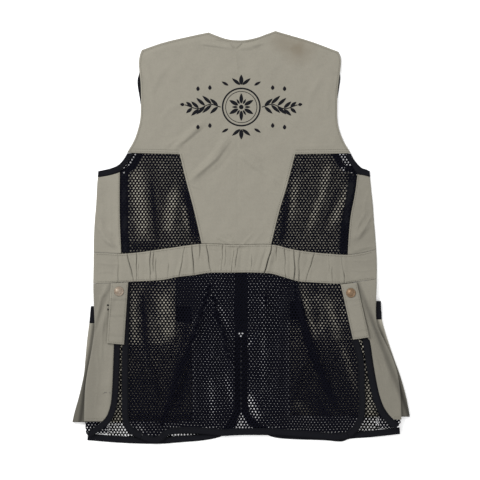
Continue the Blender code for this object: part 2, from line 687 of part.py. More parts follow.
def low_armhole_bindings():
    """Tape round the bottom of each armhole, from the yoke round the side fold to the side seam."""
    for name, side, low in (
        ("armhole_binding_back_left", -1, LOW_ARMHOLE_LEFT),
        ("armhole_binding_back_right", 1, LOW_ARMHOLE_RIGHT),
    ):
        lift_top = lambda x, y: back_level(x, y) + (BINDING - CLOTH) / 2
        lift_under = lambda x, y: front_level(x, y) + (BINDING - CLOTH) / 2
        radius = (BACK_GAP) / 2
        outer, inner = rounded(low["outer"]), rounded(low["inner"])
        grids = []
        for curve in (outer, inner):
            upper = at(curve, np.linspace(0, 1, 10))
            upper_w = side * (side_fold(side, upper[:, 1]) - upper[:, 0])
            points = [(w, y) for w, y in zip(upper_w, upper[:, 1]) if w > radius + 0.5]
            end_y = curve[-1][1]
            points += [(radius * k, end_y) for k in (1, 0.62, 0.2, -0.2, -0.62, -1)]
            points += [(-SIDE_SEAM * k, end_y + seam_rise(side, -SIDE_SEAM * k))
                       for k in (0.2, 0.4, 0.6, 0.8, 1.0)]
            grids.append(points)
        count = min(len(g) for g in grids)
        grids = [g[len(g) - count:] for g in grids]
        grids[0][0] = (side * (side_fold(side, outer[0][1]) - outer[0][0]), outer[0][1])
        grids[1][0] = (side * (side_fold(side, inner[0][1]) - inner[0][0]), inner[0][1])
        grid = np.stack([np.array(grids[0]), np.array(grids[1])], 0)
        cloth(name, [wrapped(side, lift_top, lift_under)(grid)], "black_tape", BINDING)


# Shares for the hips' grids, close together where the side fold bends
HIP_ROWS = np.array([0, 0.10, 0.19, 0.26, 0.33, 0.40, 0.47, 0.55, 0.65, 0.8, 1])


def hip_top(side, w):
    return band_bottom_y(side_fold(side, -84.0) - side * abs(w)) - SEAM * 1.4


def net_bottom(side, w):
    """Lower edge of the net under the hip: along the front's tape, and higher round the fold."""
    bound = rounded(FRONT_EDGE_LEFT if side < 0 else FRONT_EDGE_RIGHT)
    bound = moved_left(bound, side * (HEM_TAPE + 2 * SEAM))
    bound = bound[np.argsort(bound[:, 0])]
    x = side_fold(side, -360.0) - side * (abs(w) + HIP_INSET)
    under = np.interp(x, bound[:, 0], bound[:, 1])
    above = -361.0 if side < 0 else -344.0
    return under + (above - under) * ease(w, -3.0, 3.0)


def net_rows(side):
    """Shares for the rows of the hip's net, at the hip panel's own heights and below it."""
    share = (HIP_BOTTOM["left" if side < 0 else "right"] + 84) / (net_bottom(side, 9) + 84)
    return [*(HIP_ROWS * share), (share + 1) / 2, 1.0]


def hips():
    """Cotton hip panels round each side fold, the net under them, and the tape on their back edge."""
    for word, side, points in (("left", -1, HIP_EDGE_LEFT), ("right", 1, HIP_EDGE_RIGHT)):
        edge = rounded(points)
        width = HIP_TAPE[word]
        sewn = moved_left(edge, side * (width + SEAM))

        def over(y):
            x = np.interp(y, sewn[::-1, 1], sewn[::-1, 0]) + side * 0.2
            return side * (side_fold(side, y) - x)

        def top_y(w):
            return hip_top(side, w)

        def turned_under(x, y):
            return front_level(x, y) - HIP_SPACE

        def lining(x, y):
            return front_level(x, y) + HIP_LINING_GAP

        grid = wrap_grid(lambda y: 16.0, over, (BACK_GAP + HIP_SPACE) / 2, top_y,
                         lambda w: HIP_BOTTOM[word], (1, 6), HIP_ROWS)
        cloth(f"hip_{word}", [wrapped(side, back_level, turned_under)(grid)], "khaki_cotton")
        grid = wrap_grid(lambda y: SIDE_SEAM - 2 * SEAM - HIP_INSET,
                         lambda y: np.maximum(over(y) - HIP_INSET, 2.5), HIP_LINING_GAP / 2,
                         top_y, lambda w: net_bottom(side, w), (2, 5), net_rows(side))
        cloth(f"hip_net_{word}", [wrapped(side, lining, front_level, HIP_INSET)(grid)], "black_net")
        strip(f"hip_binding_{word}", edge, side * width, "black_tape",
              on(back_level, (BINDING - CLOTH) / 2), 22, BINDING, 0.001, 1.0)


def tabs():
    """A strap folded into a loop over each hip, and the snap that holds it."""
    for word, side, (a, b, c, d) in (("left", -1, TAB_LEFT), ("right", 1, TAB_RIGHT)):
        a, b, c, d = (np.array(p) for p in (a, b, c, d))
        length = np.hypot(*(c - b))
        radius = (TAB_RISE[1] - TAB_RISE[0]) / 2
        end = 1 - radius / length
        path = [(t, 0) for t in np.linspace(0.03, end, 7)]
        path += [(end + radius / length * np.sin(q), (1 - np.cos(q)) / 2)
                 for q in np.radians((45, 90, 135))]
        path += [(t, 1) for t in np.linspace(end, 0.0, 7)]
        grid = []
        for t, up in path:
            edge = [(1 - t) * a + t * d, (1 - t) * b + t * c]
            row = [edge[0] * (1 - u) + edge[1] * u for u in (0, 0.35, 0.7, 1)]
            rise = TAB_RISE[0] * (1 - up) + TAB_RISE[1] * up
            grid.append([(x, y, back_level(x, y) + rise) for x, y in row])
        cloth(f"tab_{word}", [np.array(grid)], "khaki_cotton")
    for word, (x, y) in zip(("left", "right"), SNAPS):
        step = 9.0
        slope_x = float(back_level(x + step, y) - back_level(x - step, y)) / (2 * step)
        slope_y = float(back_level(x, y + step) - back_level(x, y - step)) / (2 * step)
        base = float(back_level(x, y)) + TAB_RISE[1] + HALF + SEAM
        snap = turned(f"snap_{word}", SNAP_PROFILE, (x, y, base), 24, "snap_brass")
        snap.rotation_euler = (math.atan(slope_y), -math.atan(slope_x), 0)


def turned(name, profile, centre, steps, material):
    """A solid of revolution about the upward axis, from a profile of (radius, height)."""
    bm = bmesh.new()
    points = [bm.verts.new((r * MM, 0, z * MM)) for r, z in profile]
    edges = [bm.edges.new(pair) for pair in zip(points[:-1], points[1:])]
    bmesh.ops.spin(bm, geom=points + edges, axis=(0, 0, 1), cent=(0, 0, 0),
                   angle=2 * math.pi, steps=steps, use_merge=True)
    bmesh.ops.remove_doubles(bm, verts=bm.verts, dist=1e-7)
    bmesh.ops.recalc_face_normals(bm, faces=bm.faces)
    mesh = bpy.data.meshes.new(name)
    bm.to_mesh(mesh)
    bm.free()
    obj = add_object(name, mesh, material)
    obj.location = [c * MM for c in centre]
    return obj


# Front

def front_armhole(side):
    return rounded(FRONT_ARMHOLE_LEFT if side < 0 else FRONT_ARMHOLE_RIGHT)


def fronts():
    """Upper fronts of cotton, lower fronts of net, and the tape round the front's free edges."""
    for word, side, bound in (("left", -1, FRONT_EDGE_LEFT), ("right", 1, FRONT_EDGE_RIGHT)):
        armhole = front_armhole(side)
        inner = moved_left(armhole, -side * (BINDING_WIDTH + 2 * SEAM))
        seam_y = np.linspace(110.5 + SEAM_RISE[side], WAIST_SEAM_Y, 12)
        seam = np.stack([side_fold(side, seam_y) - side * (SIDE_SEAM + SEAM), seam_y], -1)
        outer = np.vstack([inner, seam])
        centre = np.vstack([
            [(side * abs(x), y) for x, y in FRONT_NECK],
            [(side * FRONT_EDGE_X, WAIST_SEAM_Y)],
        ])
        start = share_of(centre, centre[2])
        last, turn = share_of(outer, inner[-1]), share_of(outer, seam[0])
        top, bottom = np.array([outer[0], centre[0]]), np.array([outer[-1], centre[-1]])
        grid = coons((top, bottom, outer, centre),
                     (even(5), even(5), paced(outer, (0, last, turn, 1), (14, 1, 4)),
                      paced(centre, (0, start, 1), (9, 10))))
        cloth(f"front_upper_{word}", [on(front_level)(grid)], "khaki_cotton")
        strip(f"armhole_binding_front_{word}", armhole, -side * BINDING_WIDTH, "black_tape",
              on(front_level, (BINDING - CLOTH) / 2), 20)

        edge = rounded(bound)
        strip(f"front_binding_{word}", edge, side * HEM_TAPE, "black_tape",
              on(front_level, (BINDING - CLOTH) / 2), 36)
        inner = moved_left(edge, side * (HEM_TAPE + 2 * SEAM))
        inner = inner[np.abs(inner[:, 0]) < abs(side_fold(side, -360.0)) - SIDE_SEAM - SEAM]
        centre = np.vstack([[(side * FRONT_EDGE_X, WAIST_SEAM_Y - SEAM)], inner])
        low = share_of(centre, inner[np.argmin(np.abs(inner[:, 1] + 345))])
        seam_w = 2 * SEAM - SIDE_SEAM
        high, low_y = hip_top(side, seam_w), net_bottom(side, seam_w)
        side_y = np.array([WAIST_SEAM_Y - SEAM, -68.0,
                           *(high + (low_y - high) * t for t in net_rows(side)[:-1]),
                           inner[-1][1] + 1.0])
        outer = np.stack([side_fold(side, side_y) - side * (SIDE_SEAM + SEAM), side_y], -1)
        top = np.array([outer[0], centre[0]])
        bottom = part_of(centre, low, 1.0, 120)[::-1]
        bottom[0] = outer[-1]
        middle = part_of(centre, 0, low, 120)
        grid = coons((top, bottom, outer, middle),
                     (LOWER_COLUMNS, LOWER_COLUMNS, shares(outer),
                      np.interp(side_y, side_y[::-1][[0, -1]], (1.0, 0.0))))
        cloth(f"front_lower_{word}", [on(front_level)(grid)], "black_net")


# Shares across the lower fronts, close together where the cloth climbs onto the pockets
LOWER_COLUMNS = np.array(
    [0, 0.045, 0.09, 0.135, 0.19, 0.25, 0.31, 0.43, 0.58, 0.68, 0.76, 0.84, 0.92, 1])


def inner_pockets():
    """Cotton pieces between the front's net and the pouch, hung from the waist."""
    for word, corners in (("left", INNER_POCKET_LEFT), ("right", INNER_POCKET_RIGHT)):
        a, b, c, d = (np.array(p, float) for p in corners)
        edges = np.array([a, b]), np.array([d, c]), np.array([a, d]), np.array([b, c])
        grid = coons(edges, (even(6), even(6), even(10), even(10)))
        cloth(f"inner_pocket_{word}", [on(front_level, INNER_POCKET_GAP)(grid)], "khaki_cotton")


def zip_parts():
    """Closed front zip: its tape, the box at its bottom and the slider at its top."""
    half = FRONT_EDGE_X - SEAM
    rows = np.linspace(ZIP_TOP_Y - 4, ZIP_BOTTOM_Y, 19)
    grid = np.array([[(x, y) for x in (-half, -ZIP_CHAIN / 2, ZIP_CHAIN / 2, half)] for y in rows])
    cloth("zip_tape", [on(front_level)(grid)], "black_tape")
    z = float(front_level(0.0, ZIP_BOTTOM_Y))
    block("zip_box", (9.0, 8.0, 1.8), (0.0, ZIP_BOTTOM_Y + 5.0, z + HALF + SEAM + 0.9), "zip_metal")
    z = float(front_level(0.0, ZIP_TOP_Y))
    plates = [
        block("zip_slider", (9.0, 14.0, 0.8), (0.0, ZIP_TOP_Y - 5.0, z + HALF + SEAM + 0.4),
              "zip_metal"),
        block("slider_plate", (9.0, 14.0, 0.8), (0.0, ZIP_TOP_Y - 5.0, z - HALF - SEAM - 0.4),
              "zip_metal"),
        block("slider_post", (4.0, 4.0, CLOTH + 2 * SEAM + 1.2), (0.0, ZIP_TOP_Y - 1.0, z),
              "zip_metal"),
    ]
    for other in plates[1:]:
        join = plates[0].modifiers.new("join", "BOOLEAN")
        join.operation = "UNION"
        join.solver = "EXACT"
        join.object = other
        VEST.objects.unlink(other)
        CUTTERS.objects.link(other)
        other.hide_render = True


def block(name, size, centre, material):
    bm = bmesh.new()
    bmesh.ops.create_cube(bm, size=1.0)
    bmesh.ops.scale(bm, vec=[s * MM for s in size], verts=bm.verts)
    mesh = bpy.data.meshes.new(name)
    bm.to_mesh(mesh)
    bm.free()
    obj = add_object(name, mesh, material)
    obj.location = [c * MM for c in centre]
    edges = obj.modifiers.new("soft edges", "BEVEL")
    edges.width = 0.3 * MM
    edges.segments = 1
    return obj


def bellows():
    """Front pockets whose outer sides fold into three leaves, with a dark band at the mouth."""
    for word, side in (("left", -1), ("right", 1)):
        band_y = POCKET_TOP[word] - POCKET_BAND[word]
        for name, top, bottom, rows, material in (
            (f"pocket_band_{word}", POCKET_TOP[word], band_y, 4, "black_tape"),
            (f"pocket_{word}", band_y - SEAM, POCKET_BOTTOM[word], 13, "khaki_cotton"),
        ):
            grid = []
            for y in np.linspace(top, bottom, rows):
                grid.append(leaf_section(side, y))
            cloth(name, [np.array(grid)], material)


def leaf_section(side, y):
    """The pocket's section at a height, from the top leaf's inner end down to the face."""
    out = float(bellows_fold(side, y))
    fold = float(side_fold(side, y))
    floor = HALF
    levels = [floor + LEAF * k for k in (3, 2, 1, 0)]
    radius = LEAF / 2
    deep = fold - side * 22.0
    section = [(fold - side * 32.0, levels[0])]
    turns = ((out, levels[0], -side), (deep, levels[1], side), (out, levels[2], -side))
    for edge, high, inward_way in turns:
        centre = edge + inward_way * radius
        section += [(centre - inward_way * radius * np.sin(q), high - radius * (1 - np.cos(q)))
                    for q in np.radians((0, 60, 120, 180))]
    section += [(x, floor) for x in np.linspace(fold - side * 40.0, side * POCKET_INNER_X, 3)]
    return [(x, y, z) for x, z in section]


def main():
    global VEST, CUTTERS, MATERIALS
    clear_scene()
    VEST = bpy.data.collections.new("shooting_vest")
    CUTTERS = bpy.data.collections.new("joined_shapes")
    for collection in (VEST, CUTTERS):
        bpy.context.scene.collection.children.link(collection)
    MATERIALS = make_materials()
    back_panel()
    insets()
    seam_tapes()
    waistband()
    pouch()
    side_strips()
    low_armhole_bindings()
    hips()
    tabs()
    fronts()
    inner_pockets()
    zip_parts()
    bellows()


if __name__ == "__main__":
    main()
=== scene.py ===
"""Shooting vest, laid flat with its back up: the looks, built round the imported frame.

Lengths in the tables and the functions are millimetres; what Blender gets is metres. The
outlines, levels and folds are those of the CAD source, with finer grids, real net, stitches
and creases.
"""

import math

import bmesh
import bpy
import numpy as np
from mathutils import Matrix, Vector


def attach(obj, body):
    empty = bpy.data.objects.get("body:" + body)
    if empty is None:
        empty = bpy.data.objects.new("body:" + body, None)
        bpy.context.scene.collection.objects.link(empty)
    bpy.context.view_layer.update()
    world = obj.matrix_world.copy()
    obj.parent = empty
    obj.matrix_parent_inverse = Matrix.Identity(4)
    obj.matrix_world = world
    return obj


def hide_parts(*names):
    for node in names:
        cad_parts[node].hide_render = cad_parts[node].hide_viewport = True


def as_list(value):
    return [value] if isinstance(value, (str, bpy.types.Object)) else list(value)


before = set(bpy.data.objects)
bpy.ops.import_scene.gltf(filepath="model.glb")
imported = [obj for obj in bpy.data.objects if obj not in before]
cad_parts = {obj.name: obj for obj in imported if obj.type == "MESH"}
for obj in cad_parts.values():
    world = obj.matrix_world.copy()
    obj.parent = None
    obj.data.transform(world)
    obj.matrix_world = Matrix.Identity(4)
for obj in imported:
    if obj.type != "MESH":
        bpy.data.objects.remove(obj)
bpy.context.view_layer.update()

MM = 0.001

# Cloth, seams and the stack of layers
CLOTH = 1.0  # wall of the cotton and of the net
BINDING = 1.6  # folded tape, a little thicker than the cloth
BINDING_WIDTH = 11.0
TAPE_COLUMNS = 4
TAPE_CROWN = 0.35  # a tape's middle stands above its edges
HEM_TAPE = 12.2  # width of the tape round the pouch and round the fronts
SEAM = 0.3  # clear gap between pieces that are sewn together
HALF = CLOTH / 2
TAPE_RISE = (BINDING - CLOTH) / 2  # a tape's middle surface above that of the cloth beside it
SEWN_RISE = HALF + 0.12  # a stitch above the cloth's middle surface
BACK_GAP = 3.8  # from the front's middle surface up to the back's
HIP_LINING_GAP = 2.0  # from the front up to the net under the hip panel
SHOULDER_DROP = 1.9  # the back comes down this far where it meets the front
INNER_POCKET_GAP = 1.8
SEAM_TAPE_RISE = 1.7
HIP_SPACE = 1.3  # room for the hip panel's own turn under the net
FACE_SPACE = 1.6  # room for the pocket's face under the front
BELLOWS_SPACE = 5.0  # room for the pocket's folded bellows under the hip
HIP_INSET = (BACK_GAP + HIP_SPACE - HIP_LINING_GAP) / 2  # from the side fold in to the net's
LEAF = 1.7  # from one bellows leaf to the next
SIDE_SEAM = 45.0  # from the side fold in to the side seam, on the underside
RIM = 2.0  # how far in from a fold its turn takes its two heights

# Lines across the garment
WAIST_SEAM_Y = -53.0  # upper and lower fronts meet here, under the waistband
POCKET_TOP = {"left": -127.0, "right": -117.5}
POCKET_BAND = {"left": 31.0, "right": 33.5}  # height of the dark band round the mouth
POCKET_BOTTOM = {"left": -341.0, "right": -331.0}
POCKET_INNER_X = 90.0
HIP_BOTTOM = {"left": -339.0, "right": -335.5}
FRONT_EDGE_X = 12.0  # the front panels' centre edges
ZIP_TOP_Y = 185.0
ZIP_BOTTOM_Y = -185.0
SLIDER_LIFT = 1.2  # the tape rises over the slider's lower plate

# The fold down each side: height, left x, right x
SIDE_FOLD = (
    (124, -263, 237),
    (97, -265.5, 239.6),
    (62, -267.3, 243.3),
    (28.7, -270.1, 245.7),
    (-4.6, -271.6, 248.5),
    (-45, -272, 250.7),
    (-84, -272.3, 250.3),
    (-112, -271.5, 249),
    (-138, -270.4, 248.4),
    (-158, -269.8, 250.2),
    (-174, -270.5, 256),
    (-192, -272.8, 264.8),
    (-210, -275.6, 273.6),
    (-228, -279.1, 281),
    (-246, -282.6, 286.8),
    (-268, -286, 291),
    (-293, -287.9, 293.8),
    (-340, -288.8, 295.8),
    (-376, -286, 297),
)

# The outer fold of each pocket's bellows: height, left x, right x
BELLOWS_FOLD = (
    (-115, -275.8, 257.8),
    (-140, -278, 259.2),
    (-158, -279.8, 261.2),
    (-190, -283.8, 270.8),
    (-227, -287.2, 283.4),
    (-254, -289.9, 293.2),
    (-291, -298, 303.8),
    (-323, -307, 310.2),
    (-341, -311, 312.4),
)

# Outlines, each a list of (x, y)
NECK_AND_SHOULDERS = (
    (-183.2, 346.8), (-142.5, 360.6), (-94.4, 371.9), (-59.8, 379.2), (-42.6, 372), (-25.9, 366.6),
    (-9.2, 364.4), (9.2, 365), (29.6, 369.4), (46.2, 375.4), (63.5, 381.8), (94.4, 372.8),
    (131.3, 361.7), (180, 343.6),
)
NECK_CORNERS = (3, 10)
BACK_ARMHOLE = {
    "left": ((-183.2, 346.8), (-187, 336), (-188.6, 322), (-187.4, 304), (-185.4, 281.5),
             (-184.8, 250), (-186, 220), (-189.9, 201), (-197.2, 180), (-210.3, 156.4)),
    "right": ((180, 343.6), (183.9, 334), (184.7, 322), (182.9, 305), (180.4, 286),
              (178, 256), (178.2, 219), (182.2, 197), (191, 175.5), (203, 155.6)),
}
YOKE_HEM = ((-210.3, 156.4), (-113.4, 154), (100.2, 154), (203, 155.6))
TAPER = {
    "left": ((-113.4, 154), (-101.8, 106.4), (-87, 50.9), (-72.7, -11.7)),
    "right": ((100.2, 154), (85.1, 97.1), (70.3, 47.2), (55.5, -12.9)),
}
WAISTBAND_TOP = (
    (-273, -28.2), (-247.9, -28.8), (-221.1, -30.3), (-183.2, -26.8), (-131.3, -19.4), (-72.7, -12),
    (-9.2, -13.6), (55.5, -13.2), (90.7, -21), (120.2, -25.9), (155.4, -29.6), (196.8, -32),
    (223.9, -28.7), (251, -22.2),
)
WAISTBAND_BOTTOM = (
    (-273, -85.1), (-242.4, -84.2), (-207.4, -81.8), (-148, -78.6), (-118.4, -73.1), (-86, -69.4),
    (-58.6, -65.2), (-20.4, -64.8), (16.7, -64.6), (53.7, -66.4), (78.8, -73.1), (103.6, -80.2),
    (127.7, -82.7), (187.8, -85.3), (214.6, -81.4), (251, -76.4),
)
# Inner edge of the lower armhole binding, and the inset's outer edge below it
INSET_OUTER = {
    "left": ((-198, 155.8), (-206.8, 141.2), (-214.9, 130.4), (-223.6, 121.5), (-223.9, 80),
             (-223.5, 30), (-220.9, -30)),
    "right": ((193.2, 154.8), (199.4, 141.6), (206.4, 129.6), (215, 117.4), (209.1, 76),
              (202.6, 41.6), (198.9, 4.6), (196.8, -31.7)),
}
INSET_CORNER = 3
# Lower armhole binding on the back, from the yoke to the side fold: outer and inner edges
LOW_ARMHOLE_OUTER = {
    "left": ((-209.8, 155.8), (-217.6, 143.2), (-226.6, 134), (-239, 128.2), (-255.5, 124.2),
             (-264, 122.8)),
    "right": ((202.5, 155), (210.6, 141.2), (221.9, 129.4), (230, 126.2), (238, 123.4)),
}
LOW_ARMHOLE_INNER = {
    "left": ((-198.6, 155.5), (-207.4, 141.5), (-215.4, 130.8), (-224, 122), (-234, 118),
             (-248, 114.4), (-264, 111.8)),
    "right": ((193.8, 154.8), (200, 141.9), (207, 130), (215.5, 118), (226, 115.6),
              (238, 112.4)),
}
# How much higher both edges run at the side seam than at the fold, on the underside
SEAM_RISE = {-1: 3.2, 1: 10.5}
# Outer edge of the front armhole's binding, from the shoulder down to the side seam
FRONT_ARMHOLE = {
    "left": ((-183.2, 346), (-186.6, 325), (-187.8, 306), (-191.3, 291), (-190.4, 276),
             (-186.6, 254), (-183.6, 230), (-183.6, 200), (-187.2, 174), (-194.4, 153),
             (-201.8, 139.5), (-209, 131.6), (-217.6, 126)),
    "right": ((180, 342.8), (182.6, 325), (182.6, 306), (183.6, 293), (180.6, 272),
              (176.8, 246), (174.6, 217.4), (174.6, 190), (177.6, 167), (182.6, 149.4),
              (187.4, 139.4), (191.6, 133.3)),
}
FRONT_NECK = ((-59.8, 377.5), (-45, 300), (-FRONT_EDGE_X, ZIP_TOP_Y))
HIP_TAPE = {"left": 11, "right": 13}
HIP_EDGE = {
    "left": ((-219.9, -84), (-221.4, -134), (-222.8, -199), (-224.4, -245),
             (-225.6, -273), (-227.8, -302), (-231.7, -320.6), (-238.1, -335.7), (-248.4, -347.6),
             (-260.6, -356.4), (-271, -363.4), (-279, -369.4)),
    "right": ((202.8, -84.5), (209.6, -122), (216.4, -155), (223.8, -189), (231.5, -240),
              (238, -275.8), (244, -300), (251.6, -319), (262, -334.6), (274, -346.5), (284, -354)),
}
POUCH_EDGE = (
    (-216.2, -84.5), (-217.9, -143.4), (-219.1, -198.9), (-219.8, -245.1), (-219.8, -301.7),
    (-219.8, -327.3), (-217, -344.3), (-210.5, -356.5), (-198, -366.5), (-178, -375.5),
    (-157, -380.4), (-145, -375), (-130, -364.5), (-100, -361.8), (-60, -364), (-35, -366.5),
    (-1.9, -365), (46.2, -365), (80, -366), (115, -369), (153, -372), (180, -374), (200, -369.5),
    (214, -358.8), (222, -347), (227.5, -332), (229.9, -301.7), (228.5, -273), (228.3, -245.1),
    (224.8, -217.4), (217, -187.8), (205.3, -134.1), (196, -86),
)
POUCH_CORNERS_AT = (0.305, 0.700)  # shares of the edge where its side bindings meet the hem's
FRONT_EDGE = {
    "left": ((-0.7, ZIP_BOTTOM_Y - SEAM), (-0.9, -230), (-0.9, -300), (-2, -326),
             (-13.9, -351.5), (-35, -367), (-66.6, -374.6), (-112.9, -378.8), (-155.4, -381.6),
             (-222, -379.6), (-284, -374.6)),
    "right": ((0.7, ZIP_BOTTOM_Y - SEAM), (0.9, -230), (0.9, -300), (3.5, -326),
              (21.3, -351.5), (46.2, -364), (66.4, -370.4), (103.6, -373.2), (153, -374.8),
              (185, -377.2), (202.6, -372), (240, -369), (294, -362.6)),
}
INNER_POCKET = {
    "left": ((-212, -58), (-121, -58), (-121, -197.5), (-212, -198.9)),
    "right": ((98, -58), (204, -58), (218, -189.6), (131.3, -189.6)),
}
TAB = {
    "left": ((-239.6, -86), (-208.1, -84), (-215.5, -197), (-247, -194.2)),
    "right": ((184.1, -88), (213.7, -84.2), (235.9, -183.2), (206.3, -187.8)),
}
SIDES = (("left", -1), ("right", 1))
TAB_RISE = (2.4, 4.2)  # the strap's two layers above the back
SNAPS = {"left": (-224.6, -99), "right": (202.2, -101.8)}
# Radius and height of the snap's domed cap with its rolled rim
SNAP_PROFILE = (
    (0, 0), (7.6, 0), (8.3, 0.15), (8.8, 0.6), (8.8, 1.1), (8.3, 1.55), (7.6, 1.7), (7, 1.55),
    (6.6, 1.35), (6.2, 1.45), (5.4, 1.95), (4.2, 2.4), (2.6, 2.75), (1.2, 2.92), (0, 2.96),
)

# Gathers in the waistband's elastic: x at its top edge and at its bottom edge
GATHERS = (
    (-228, -226), (-211, -196), (-197, -203), (-176, -170), (-166, -152), (-135, -133),
    (-107, -121), (-95, -88), (-74, -62), (-57, -55), (-34, -42), (-17, -20), (2, -3), (18, 12),
    (37, 22), (55, 40), (64, 60), (80, 78), (91, 90), (98, 101), (108, 107), (122, 128), (136, 122),
    (158, 160), (182, 184), (196, 198),
)
PUFF = 2.2  # most that the cloth stands up between two gathers

# Largest folds: start, middle, end, half width, height
FOLDS = (
    # Pouch
    ((-54, -84), (-98, -210), (-146, -345), 17, 7.5),
    ((-56, -99), (-19, -227), (-9, -337), 15, 6),
    ((-174, -90), (-177, -150), (-176, -200), 10, 3),
    ((-181, -205), (-166, -250), (-150, -310), 13, 4),
    ((51, -88), (34, -178), (8, -215), 14, 6),
    ((97, -90), (123, -190), (165, -296), 15, 6.5),
    ((77, -100), (72, -200), (60, -320), 14, 4.5),
    ((128, -205), (108, -255), (90, -310), 14, 4),
    ((183, -200), (196, -250), (205, -310), 11, 3),
    ((-148, -318), (-149, -350), (-149, -378), 11, 4),
    # Net insets
    ((-170, 142), (-149, 62), (-152, -18), 13, 4.5),
    ((-107, 100), (-124, 74), (-141, 45), 11, 3.5),
    ((174, 127), (142, 65), (109, 0), 13, 4.5),
    ((194, 92), (180, 68), (160, 35), 10, 3),
    ((89, 110), (84, 70), (80, 30), 11, 3),
    # Back panel
    ((-70, 212), (-98, 187), (-126, 162), 9, 3.5),
    ((-22, 190), (-50, 148), (-97, 102), 11, 4),
    ((-5, 157), (17, 141), (42, 122), 10, 2.6),
    ((-11, 352), (-42, 352), (-78, 359), 8, 1.8),
    ((-7, 350), (16, 352), (40, 361), 8, 1.8),
    # Side strips and hips
    ((-264, 32), (-250, 4), (-236, -20), 9, 2.6),
    ((243, 30), (225, 14), (205, -6), 10, 3.2),
    ((-231, -92), (-247, -135), (-264, -182), 10, 2.4),
    ((224, -98), (262, -205), (278, -300), 11, 4.4),
)

# Where a net is stretched open (above 0) or drawn together (below 0): start, middle, end,
# half width, change in the size of its holes
INSET_BANDS = (
    ((-194, 140), (-188, 66), (-180, -6), 20, 0.29),
    ((-118, 100), (-132, 54), (-136, 6), 16, 0.31),
    ((-106, 68), (-104, 42), (-98, 10), 8, 0.17),
    ((-167, 112), (-160, 44), (-154, -14), 7, -0.29),
    ((-108, 112), (-93, 48), (-80, -14), 12, -0.42),
    ((-212, -14), (-180, -16), (-150, -16), 14, -0.2),
    ((164, 146), (150, 80), (118, 4), 12, 0.27),
    ((102, 118), (96, 70), (90, 28), 11, 0.2),
    ((206, 106), (188, 70), (164, 20), 13, 0.26),
    ((160, 42), (150, 10), (142, -14), 6, 0.1),
    ((88, 80), (80, 34), (74, -16), 9, -0.42),
    ((180, 96), (160, 40), (144, -8), 6, -0.17),
    ((190, 30), (188, 0), (186, -24), 10, -0.34),
)
POUCH_BANDS = (
    # Over the left inner pocket
    ((-199, -92), (-197, -150), (-194, -200), 11, 0.25),
    ((-146, -90), (-138, -150), (-130, -196), 26, 0.29),
    ((-168, -130), (-162, -165), (-158, -200), 14, 0.14),
    ((-183, -100), (-178, -160), (-174, -222), 6, -0.37),
    ((-196, -82), (-165, -84), (-125, -86), 9, -0.09),
    # Over the right inner pocket
    ((114, -92), (124, -140), (138, -188), 11, 0.25),
    ((142, -100), (150, -140), (152, -186), 10, 0.12),
    ((156, -98), (168, -146), (182, -196), 14, 0.29),
    ((182, -190), (200, -246), (214, -290), 10, 0.23),
    ((99, -92), (117, -158), (150, -246), 8, -0.41),
    ((142, -236), (160, -280), (178, -316), 9, -0.28),
    # Centre
    ((-72, -78), (-66, -86), (-60, -98), 7, 0.16),
    ((-54, -108), (-36, -136), (-22, -170), 8, 0.19),
    ((-36, -196), (-24, -222), (-12, -250), 8, 0.17),
    ((-62, -182), (-58, -256), (-54, -346), 24, 0.1),
    ((-60, -250), (-54, -298), (-52, -346), 8, 0.12),
    ((-30, -244), (-23, -276), (-18, -306), 9, 0.16),
    ((14, -82), (18, -108), (22, -136), 8, 0.14),
    ((40, -84), (41, -170), (40, -290), 9, 0.18),
    ((20, -178), (10, -208), (4, -232), 6, 0.25),
    ((6, -282), (20, -312), (36, -342), 15, 0.39),
    ((-1, -326), (-1, -340), (-1, -356), 14, 0.13),
    ((62, -156), (78, -172), (104, -176), 10, 0.1),
    ((74, -126), (80, -136), (88, -146), 8, 0.14),
    ((94, -300), (112, -316), (134, -342), 16, 0.18),
    ((150, -344), (168, -350), (184, -352), 8, 0.18),
    ((96, -262), (102, -272), (110, -280), 9, 0.12),
    ((130, -262), (134, -272), (140, -284), 8, 0.1),
    ((166, -240), (172, -266), (178, -290), 9, 0.13),
    # Left of the centre
    ((-80, -140), (-98, -200), (-134, -316), 6, 0.17),
    ((-206, -216), (-204, -246), (-203, -276), 9, 0.13),
    ((-162, -214), (-158, -226), (-156, -240), 9, 0.17),
    ((-134, -226), (-138, -244), (-148, -268), 9, 0.16),
    ((-182, -230), (-172, -252), (-166, -268), 7, 0.1),
    ((-196, -346), (-186, -352), (-176, -356), 8, 0.23),
    # Dark folds
    ((-82, -98), (-104, -172), (-140, -330), 8, -0.28),
    ((-68, -160), (-86, -218), (-126, -340), 9, -0.28),
    ((-24, -74), (-10, -116), (-4, -166), 12, -0.18),
    ((-10, -200), (-6, -270), (-5, -318), 8, -0.18),
    ((50, -166), (56, -236), (58, -310), 8, -0.14),
    ((70, -200), (78, -262), (84, -338), 9, -0.23),
    ((132, -290), (152, -322), (176, -352), 12, -0.28),
    ((-60, -66), (-1, -68), (60, -70), 14, -0.16),
    ((150, -205), (162, -262), (166, -326), 26, -0.1),
)

FRONT_BANDS = (
    ((6, -282), (20, -312), (36, -342), 15, 0.25),
    ((40, -84), (41, -170), (40, -290), 9, 0.07),
    ((-54, -108), (-36, -136), (-22, -170), 8, 0.1),
    ((20, -178), (10, -208), (4, -232), 6, 0.2),
    ((-60, -250), (-54, -298), (-52, -346), 9, 0.1),
    ((-30, -244), (-23, -276), (-18, -306), 9, 0.1),
    ((-80, -140), (-98, -200), (-134, -316), 6, 0.12),
    ((182, -190), (200, -246), (214, -290), 10, 0.3),
    ((94, -300), (112, -316), (134, -342), 16, 0.12),
    ((-196, -346), (-186, -352), (-176, -356), 8, 0.2),
)

